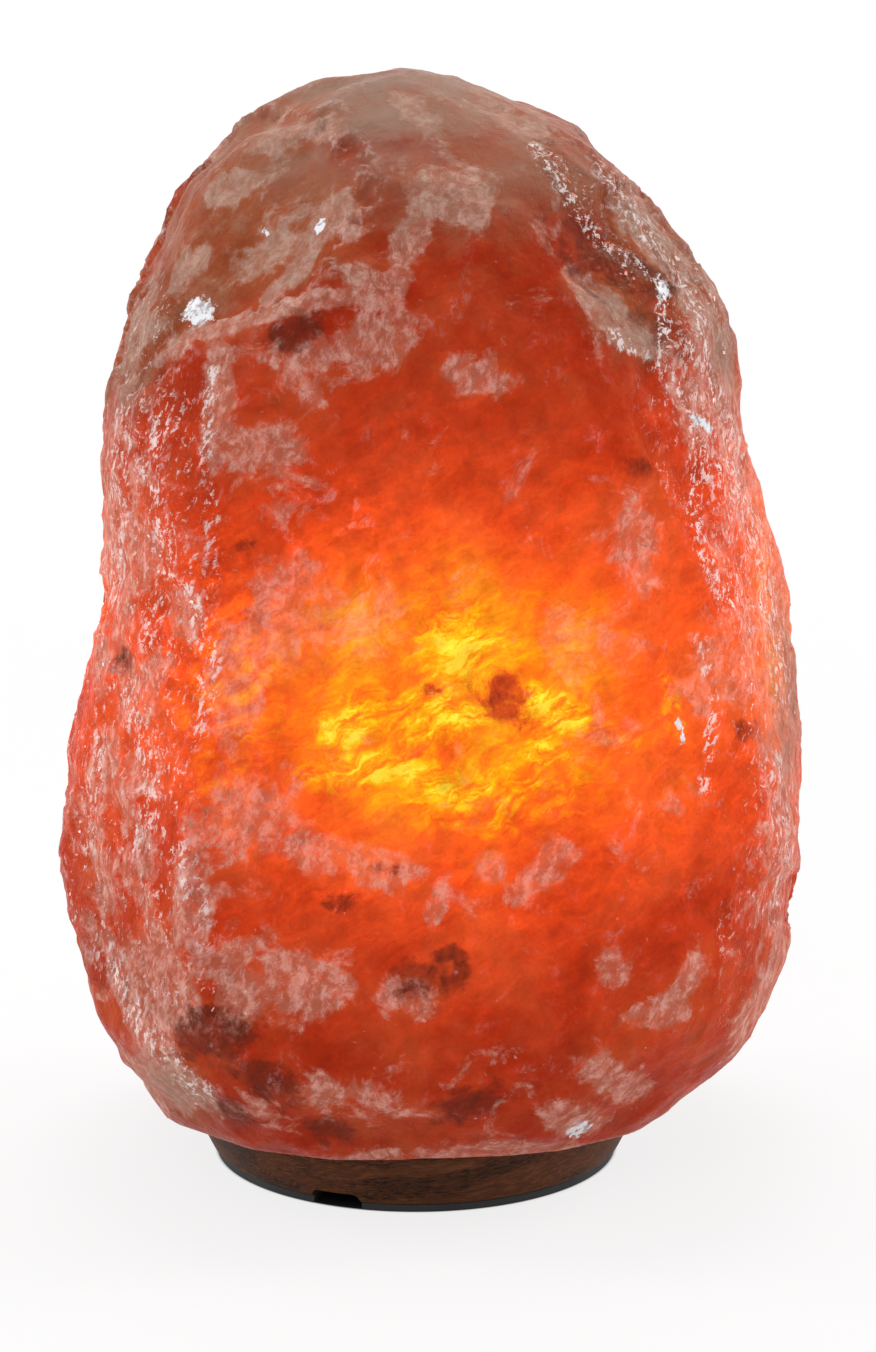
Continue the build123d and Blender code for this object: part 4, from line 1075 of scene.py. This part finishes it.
class HewnSurface(GeometryTree):
    """Softens the block's facets, then roughens it as hewn salt is, away from bore and seat."""

    title = "Hewn Surface"
    inputs = {"Soft Rounds": 6, "Lump Size": 0.024, "Lump Depth": 0.0026, "Scoop Size": 0.012,
              "Scoop Depth": 0.0020, "Grain Size": 0.0036, "Grain Depth": 0.0006, "Chip Depth": 0.0022,
              "Bore Radius": BORE_RADIUS, "Bore Top": 0.155, "Seat Height": 0.02, "Seed": 4.0}
    scoop_push_scale = 90.0     # of the noise that pushes the scoops about
    scoop_push = 0.012
    ridge_rounds = 5            # of smoothing, which a ridge is measured against
    ridge_gain = 4.0 / MM       # a ridge that stands a quarter of a millimetre proud counts as 1

    def free(self, w: Wiring, given: bpy.types.NodeInputs) -> Socket:
        """Mask of the surface that may move: 0 on the bore and the seat, 1 on the outside."""
        place = w.add("ShaderNodeSeparateXYZ", {"Vector": w.add("GeometryNodeInputPosition")})
        flat = w.add("ShaderNodeCombineXYZ", {"X": place.outputs["X"], "Y": place.outputs["Y"]})
        radius = w.vector("LENGTH", flat)
        near, past = (w.plus(given["Bore Radius"], margin * MM) for margin in (2.0, 9.0))
        low, high = (w.plus(given["Bore Top"], margin * MM) for margin in (2.0, 9.0))
        outside = w.maths("MAXIMUM", w.step(radius, near, past), w.step(place.outputs["Z"], low, high))
        foot, knee = (w.plus(given["Seat Height"], margin * MM) for margin in (0.6, 7.0))
        return w.times(outside, w.step(place.outputs["Z"], foot, knee))

    def blurred(self, w: Wiring, value: Any, rounds: Any, weight: Any) -> Socket:
        """A vector smoothed over the mesh."""
        inputs = {"Iterations": rounds, "Weight": weight}
        node = w.add("GeometryNodeBlurAttribute", inputs, data_type="FLOAT_VECTOR")
        w.feed(value_input(node), value)
        return next(socket for socket in node.outputs if socket.enabled)

    def relief(self, w: Wiring, given: bpy.types.NodeInputs) -> Socket:
        """Height of the roughness, in metres."""
        point = w.add("GeometryNodeInputPosition").outputs[0]
        seeded = w.vector("ADD", point, w.add("ShaderNodeCombineXYZ", {"X": given["Seed"]}))

        def layer(size: Socket, detail: float) -> Socket:
            """Noise whose spots have a size, 0 on average."""
            inputs = {"Vector": seeded, "Scale": w.maths("DIVIDE", 1.0, size), "Detail": detail,
                      "Roughness": 0.6, "Distortion": 0.3}
            return w.minus(w.add("ShaderNodeTexNoise", inputs).outputs["Fac"], 0.5)

        inputs = {"Vector": seeded, "Scale": self.scoop_push_scale, "Detail": 3.0}
        push = w.add("ShaderNodeTexNoise", inputs).outputs["Color"]
        push = w.enlarged(w.vector("SUBTRACT", push, HALVES), self.scoop_push)
        closeness = w.maths("DIVIDE", 1.0, given["Scoop Size"])
        cells = w.add("ShaderNodeTexVoronoi", {"Vector": w.vector("ADD", seeded, push), "Scale": closeness})
        bowl = w.minus(w.maths("POWER", cells.outputs["Distance"], 1.6), 0.35)
        scoops = w.times(bowl, given["Scoop Depth"])
        lumps = w.times(layer(given["Lump Size"], 2.0), 2.0, given["Lump Depth"])
        grain = w.times(layer(given["Grain Size"], 4.0), 2.0, given["Grain Depth"])
        rougher = w.plus(0.35, w.times(self.painted(w, Paint.ROUGH), 0.9))
        fine = w.times(w.plus(scoops, grain), rougher)
        ragged = w.plus(self.painted(w, Paint.CHIP), w.times(layer(given["Scoop Size"], 3.0), 1.1))
        flaked = w.times(w.step(ragged, 0.44, 0.56), given["Chip Depth"])
        return w.minus(w.plus(lumps, fine), flaked)

    def wire(self, w: Wiring, given: bpy.types.NodeInputs) -> Socket:
        """Softens, displaces and marks the ridges."""
        free = self.free(w, given)
        place = w.add("GeometryNodeInputPosition").outputs[0]
        soft = self.blurred(w, place, given["Soft Rounds"], free)
        softened = w.add("GeometryNodeSetPosition", {"Geometry": given["Geometry"], "Position": soft})
        normal = w.add("GeometryNodeInputNormal").outputs[0]
        offset = w.enlarged(normal, w.times(self.relief(w, given), free))
        hewn = w.add("GeometryNodeSetPosition", {"Geometry": softened, "Offset": offset})
        lift = w.vector("SUBTRACT", place, self.blurred(w, place, self.ridge_rounds, 1.0))
        ridge = w.times(w.vector("DOT_PRODUCT", lift, normal), self.ridge_gain)
        marked = w.add("GeometryNodeStoreNamedAttribute", {"Geometry": hewn, "Name": "ridge"},
                       data_type="FLOAT", domain="POINT")
        w.feed(value_input(marked), ridge)
        return w.add("GeometryNodeSetShadeSmooth", {"Geometry": marked, "Shade Smooth": True}).outputs[0]


class SaltShards(GeometryTree):
    """Small cleaved cubes and plates of salt that stand out of the rough faces."""

    title = "Salt Shards"
    inputs = {"Density": 60000.0, "Smallest": (0.0005, 0.0003, 0.0002), "Largest": (0.0021, 0.0009, 0.0005),
              "Tilt": 0.7, "Spin": 2.4, "Sink": 0.0001, "Seed": 7}

    def wire(self, w: Wiring, given: bpy.types.NodeInputs) -> Socket:
        """Strews plates of random size, each lying nearly flat, where the salt is rough."""
        seed, tilt = given["Seed"], given["Tilt"]
        clump = w.step(w.noise(w.add("GeometryNodeInputPosition"), 9.0, 3.0), 0.46, 0.62)
        share = w.times(w.step(self.painted(w, Paint.ROUGH), 0.35, 0.9), clump)
        inputs = {"Mesh": given["Geometry"], "Seed": seed, "Density": w.times(given["Density"], share)}
        strewn = w.add("GeometryNodeDistributePointsOnFaces", inputs).outputs
        sunk = w.enlarged(strewn["Normal"], w.times(given["Sink"], -1.0))
        settled = w.add("GeometryNodeSetPosition", {"Geometry": strewn["Points"], "Offset": sunk})
        inputs = {"Min": given["Smallest"], "Max": given["Largest"], "Seed": seed}
        size = w.add("FunctionNodeRandomValue", inputs, data_type="FLOAT_VECTOR")
        draw = w.add("FunctionNodeRandomValue", {"Seed": w.plus(seed, 1)}, data_type="FLOAT_VECTOR")
        reach = w.add("ShaderNodeCombineXYZ", {"X": tilt, "Y": tilt, "Z": given["Spin"]})
        turn = w.vector("MULTIPLY", w.vector("SUBTRACT", draw, HALVES), reach)
        lying = w.add("FunctionNodeRotateRotation", {"Rotation": strewn["Rotation"], "Rotate By": turn},
                      rotation_space="LOCAL")
        cube = w.add("GeometryNodeMeshCube", {"Size": (1.0, 1.0, 1.0)}).outputs["Mesh"]
        inputs = {"Points": settled, "Instance": cube, "Rotation": lying, "Scale": size}
        return w.add("GeometryNodeInstanceOnPoints", inputs).outputs[0]


class WoundCoil(GeometryTree):
    """Wire wound along an arch, as the filament is."""

    title = "Wound Coil"
    inputs = {"Half Span": 0.009, "Foot Height": 0.0, "Crown Height": 0.003, "Coil Radius": 0.0004,
              "Wire Radius": 0.0001, "Wire Sides": 8, "Turns": 44, "Turn Points": 12}

    def wire(self, w: Wiring, given: bpy.types.NodeInputs) -> Socket:
        """Winds a helix round the arch and sweeps the wire along it."""
        left = w.times(given["Half Span"], -1.0)
        arch = w.add("GeometryNodeCurveArc", {
            "Start": w.add("ShaderNodeCombineXYZ", {"X": left, "Z": given["Foot Height"]}),
            "Middle": w.add("ShaderNodeCombineXYZ", {"Z": given["Crown Height"]}),
            "End": w.add("ShaderNodeCombineXYZ", {"X": given["Half Span"], "Z": given["Foot Height"]}),
        }, mode="POINTS")
        count = w.times(given["Turns"], given["Turn Points"])
        line = w.add("GeometryNodeResampleCurve", {"Curve": arch.outputs["Curve"], "Count": count})
        angle = w.times(w.add("GeometryNodeSplineParameter").outputs["Factor"],
                        w.times(given["Turns"], math.tau))
        normal = w.add("GeometryNodeInputNormal").outputs[0]
        across = w.vector("CROSS_PRODUCT", w.add("GeometryNodeInputTangent").outputs[0], normal)
        spoke = w.vector("ADD", w.enlarged(normal, w.maths("COSINE", angle)),
                         w.enlarged(across, w.maths("SINE", angle)))
        offset = w.enlarged(spoke, given["Coil Radius"])
        helix = w.add("GeometryNodeSetPosition", {"Geometry": line, "Offset": offset})
        inputs = {"Resolution": given["Wire Sides"], "Radius": given["Wire Radius"]}
        section = w.add("GeometryNodeCurvePrimitiveCircle", inputs).outputs["Curve"]
        inputs = {"Curve": helix, "Profile Curve": section, "Fill Caps": True}
        return w.add("GeometryNodeCurveToMesh", inputs).outputs[0]


@dataclass
class SaltCrystal:
    """The hewn block of rock salt, rebuilt on the CAD block with the relief of real salt."""

    camera: PhotoCamera
    finish: RockSalt = field(default_factory=RockSalt)
    node: str = "salt_crystal"
    cell: float = 1.65 * MM         # of the fine mesh
    bore_margin: float = 5.0 * MM   # round the bore, where nothing is painted
    crown_margin: float = 20 * MM   # over the bulb, past which the block is painted to its middle
    haze_swell: float = 34 * MM     # size of the hazy clouds where the photograph doesn't show the salt
    stain_swell: float = 15 * MM
    rough_swell: float = 46 * MM
    sight_start: float = -0.12      # share of a normal towards the camera from which the paint fades in
    sight_span: float = 0.2
    left_turn: float = -0.42        # side share of a normal past which the left flank is rough
    right_turn: float = 0.52
    turn_span: float = 0.1
    flank_low: float = 0.05         # heights between which the flanks are rough
    flank_high: float = 0.235
    flank_fade: float = 0.03
    stain_level: float = 0.34       # of the swell past which there are stains
    tan_low: float = 0.225          # heights between which light stops coming through
    tan_high: float = 0.30
    flare_height: float = 0.125     # the middle of the bulb, which lights the spots round it
    flare_reach: float = 0.040

    def fine_block(self) -> bpy.types.Object:
        """The CAD block as one even fine mesh."""
        piece = link("hewn_salt", merged_copy(self.node))
        remesh = piece.modifiers.new("fine", "REMESH")
        remesh.mode = "VOXEL"
        remesh.voxel_size = self.cell
        settle(piece)
        return piece

    def unseen(self, points: np.ndarray, normals: np.ndarray, back: np.ndarray) -> dict[Paint, np.ndarray]:
        """Paint for the sides and the back, in clouds and veins like the front's.

        Args:
            points: The mesh's points, one a row, in metres.
            normals: Their normals.
            back: How far each is turned out of the photograph's sight.

        Returns:
            The cover of each kind of paint.
        """
        hidden = np.flatnonzero(back)

        def swell(size: float, seed: float) -> np.ndarray:
            """Slow noise at the hidden points, mostly within half a unit of 0."""
            level = np.zeros(len(points))
            places = points[hidden] / size + seed
            level[hidden] = [noise.fractal(Vector(place), 0.8, 2.0, 3) for place in places]
            return level

        height = rise(points[:, 2], self.tan_low, self.tan_high - self.tan_low)
        lit = np.clip(1.4 - np.abs(points[:, 2] - self.flare_height) / self.flare_reach, 0.0, 1.0)
        sideways, behind = rise(np.abs(normals[:, 0]), 0.45, 0.3), rise(normals[:, 1], 0.25, 0.3)
        haze, veins = swell(self.haze_swell, 3.0), swell(self.rough_swell, 31.0)
        cover = {
            Paint.HAZE: np.clip(0.22 + 1.5 * haze, 0.0, 0.95),
            Paint.STAIN: np.clip(2.4 * (swell(self.stain_swell, 11.0) - self.stain_level), 0.0, 1.0),
            Paint.ROUGH: np.clip(0.30 + 0.30 * sideways + 1.2 * swell(self.rough_swell, 23.0), 0.0, 1.0),
            # painted glint lines along the crests of slow noise
            Paint.FROST: np.clip(1.1 - 16.0 * np.abs(veins), 0.0, 0.9),
            Paint.FLARE: lit * behind * np.clip(0.3 - 1.8 * haze, 0.0, 1.0),
            # painted shade: no glow through the top of the block
            Paint.TAN: 0.9 * height,
        }
        return {kind: back * value for kind, value in cover.items()}

    def paint(self, mesh: bpy.types.Mesh) -> None:
        """Writes each kind of patch to the mesh as an attribute.

        Args:
            mesh: The fine mesh.
        """
        points, normals = vertex_table(mesh, "co"), vertex_table(mesh, "normal")
        pixels = self.camera.pixels(points)
        toward = -np.array(self.camera.axes()[0])
        facing = rise(normals @ toward, self.sight_start, self.sight_span)
        radius = np.hypot(points[:, 0], points[:, 1])
        level, sideways = points[:, 2], normals[:, 0]
        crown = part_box("bulb_glass")[1].z + self.crown_margin
        outside = (radius > BORE_RADIUS + self.bore_margin) | (level > crown)
        front = facing * outside
        back = (1.0 - facing) * outside
        flank = rise(level, self.flank_low, self.flank_fade) * rise(-level, -self.flank_high, self.flank_fade)
        left = rise(-sideways, -self.left_turn, self.turn_span) * flank
        right = rise(sideways, self.right_turn, self.turn_span) * flank
        base = self.unseen(points, normals, back)
        flanks = outside * (0.75 * left + 0.6 * right) * (1.0 - 0.5 * back)
        base[Paint.ROUGH] = np.maximum(base[Paint.ROUGH], flanks)
        for kind in Paint:
            value = base.get(kind, np.zeros(len(points)))
            for patch in PATCHES + SEAMS:
                if patch.kind is kind:
                    value = np.maximum(value, patch.cover(pixels) * front)
            attribute = mesh.attributes.new(kind.value, "FLOAT", "POINT")
            attribute.data.foreach_set("value", value.astype(np.float32))

    def build(self) -> None:
        """Makes the crystal and registers it."""
        piece = self.fine_block()
        self.paint(piece.data)
        salt = self.finish.material()
        HewnSurface().run(piece, salt)
        shards = link("salt_shards", piece.data.copy())
        SaltShards().run(shards, ShardSalt().material())
        register(piece, Body.STONE, [self.node])
        register(shards, Body.STONE, [])


@dataclass
class WoodenBase:
    """The turned base with its pad, screws and plugs."""

    def build(self) -> None:
        """Dresses the base's nodes."""
        dress("wood_base", StainedWood().material())
        dress("base_pad", RUBBER.material())
        dress("base_screws", ZINC.material())
        dress("wall_plugs", PLUG_PLASTIC.material())


@dataclass
class SpringClip:
    """Plate, strip, rivets and wings that hold the lampholder in the bore."""

    def build(self) -> None:
        """Dresses the clip's nodes."""
        dress("clip_plate", ZINC.material())
        for node in ("clip_strip", "clip_rivets", "wing_left", "wing_right"):
            dress(node, SPRING.material())
        for node in ("cord_nipple", "nipple_nut", "lock_washer"):
            dress(node, ZINC.material())


@dataclass
class Lampholder:
    """The moulded holder with its porcelain and contacts."""

    def build(self) -> None:
        """Dresses the holder's nodes."""
        for node in ("holder_cap", "holder_shell"):
            dress(node, BLACK_PLASTIC.material())
        dress("porcelain_insert", PORCELAIN.material())
        for node in ("contact_shell", "contact_tongue", "terminals", "terminal_screws"):
            dress(node, BRASS.material())


@dataclass
class CandleBulb:
    """The candle bulb, with its filament wound as a real coil."""

    wire_share: float = 0.26        # the wire's radius, as a share of the coil's
    end_slope: Pair = (0.6, 0.8)    # sine and cosine of the arch's slope at its ends

    def build_coil(self) -> None:
        """Winds the coil where the CAD rod of its diameter lies."""
        low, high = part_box("filament")
        reach, (sine, cosine) = high.y, self.end_slope
        wire = reach * self.wire_share
        coil = link("filament_coil", bpy.data.meshes.new("filament_coil"))
        WoundCoil().run(coil, HotWire().material(), half_span=high.x - reach * sine,
                        foot_height=low.z + reach * cosine, crown_height=high.z - reach,
                        coil_radius=reach - wire, wire_radius=wire)
        register(coil, Body.BULB, ["filament"])

    def build(self) -> None:
        """Dresses the bulb's nodes and winds the coil."""
        dress("bulb_glass", CLEAR_GLASS.material())
        dress("bulb_stem", STEM_GLASS.material())
        for node in ("bulb_cap", "bulb_button"):
            dress(node, CAP_METAL.material())
        dress("bulb_insulator", CAP_GLASS.material())
        for node in ("lead_wires", "filament_support", "filament"):
            dress(node, WIRE.material())
        self.build_coil()


@dataclass(frozen=True)
class SoftBox:
    """A rectangular lamp of the studio."""

    name: str
    place: Triple
    aim: Triple
    wide: float
    high: float
    power: float

    def build(self) -> None:
        """Puts the lamp in the scene."""
        data = bpy.data.lights.new(self.name, "AREA")
        data.shape = "RECTANGLE"
        data.size, data.size_y = self.wide, self.high
        data.energy = self.power
        lamp = bpy.data.objects.new(self.name, data)
        lamp.location = self.place
        lamp.rotation_mode = "QUATERNION"
        lamp.rotation_quaternion = (Vector(self.aim) - Vector(self.place)).to_track_quat("-Z", "Y")
        bpy.context.scene.collection.objects.link(lamp)


@dataclass
class Studio:
    """Pale floor with a painted shadow under the lamp, white surroundings and soft lamps."""

    floor_half: float = 6.0
    floor_white: float = 0.9
    seen_white: float = 0.8         # share of plain white in what the camera sees near the lamp
    lamp_foot: float = 0.0545       # radius of the painted shadow on the floor under the lamp
    foot_fade: float = 0.0015
    shade: float = 0.03             # colour of the painted shadow there
    near_floor: float = 0.16        # distance past which the floor gets whiter
    clear_floor: float = 0.75       # distance past which it is plain white
    sky: float = 0.42
    boxes: tuple = (
        SoftBox("top_box", (0.0, 0.35, 1.5), (0.0, 0.0, 0.2), 0.9, 0.7, 9.0),
        SoftBox("left_box", (-1.0, 0.15, 0.35), (0.0, 0.0, 0.15), 0.16, 0.9, 5.0),
        SoftBox("right_box", (1.0, 0.15, 0.45), (0.0, 0.0, 0.18), 0.16, 0.9, 5.0),
        SoftBox("front_box", (-0.5, -1.6, 1.2), (0.0, 0.0, 0.15), 0.9, 0.9, 6.0),
    )

    def seen(self, w: Wiring) -> Socket:
        """1 for rays that show the surroundings: straight, mirrored or through glass."""
        path = w.add("ShaderNodeLightPath").outputs
        total = w.plus(path["Is Camera Ray"], path["Is Glossy Ray"])
        return w.maths("ADD", total, path["Is Transmission Ray"], clamp=True)

    def build_floor(self) -> None:
        """Makes the floor, with its painted shadow under the lamp."""
        half = self.floor_half
        mesh = bpy.data.meshes.new("floor")
        corners = [(-half, -half, 0), (half, -half, 0), (half, half, 0), (-half, half, 0)]
        mesh.from_pydata(corners, [], [(0, 1, 2, 3)])
        floor = link("floor", mesh)
        material = bpy.data.materials.new("floor_white")
        material.use_nodes = True
        material.node_tree.nodes.clear()
        w = Wiring(material.node_tree)
        white = w.add("ShaderNodeEmission", {"Color": (1.0, 1.0, 1.0), "Strength": 1.0})
        radius = w.vector("LENGTH", object_point(w))
        plain = w.step(radius, self.near_floor, self.clear_floor, (self.seen_white, 1.0))
        # painted shadow: the floor is near black within the lamp's foot
        outside_painted_shadow = w.step(radius, self.lamp_foot, self.lamp_foot + self.foot_fade)
        pale = w.mixed(outside_painted_shadow, (self.shade,) * 3, (self.floor_white,) * 3)
        matte = w.add("ShaderNodeBsdfDiffuse", {"Color": pale})
        share = w.times(self.seen(w), w.times(plain, outside_painted_shadow))
        mixed = w.add("ShaderNodeMixShader", {0: share, 1: matte, 2: white})
        w.add("ShaderNodeOutputMaterial", {"Surface": mixed})
        mesh.materials.append(material)

    def build_sky(self) -> None:
        """Makes the surroundings."""
        world = bpy.data.worlds.new("surroundings")
        world.use_nodes = True
        w = Wiring(world.node_tree)
        strength = w.plus(self.sky, w.times(self.seen(w), 1.0 - self.sky))
        background = world.node_tree.nodes["Background"]
        w.feed(background.inputs["Color"], (1.0, 1.0, 1.0))
        w.feed(background.inputs["Strength"], strength)
        bpy.context.scene.world = world

    def build(self) -> None:
        """Makes the whole studio."""
        self.build_floor()
        self.build_sky()
        for box in self.boxes:
            box.build()
        bpy.context.scene.view_settings.view_transform = "Standard"


def main() -> None:
    """Builds the lamp and its studio."""
    logging.basicConfig(level=logging.INFO, format="%(name)s: %(message)s")
    camera = PhotoCamera()
    camera.build()
    for part in (SaltCrystal(camera), WoodenBase(), SpringClip(), Lampholder(), CandleBulb(), Studio()):
        part.build()
        log.info("built %s", type(part).__name__)


if __name__ == "__main__":
    main()
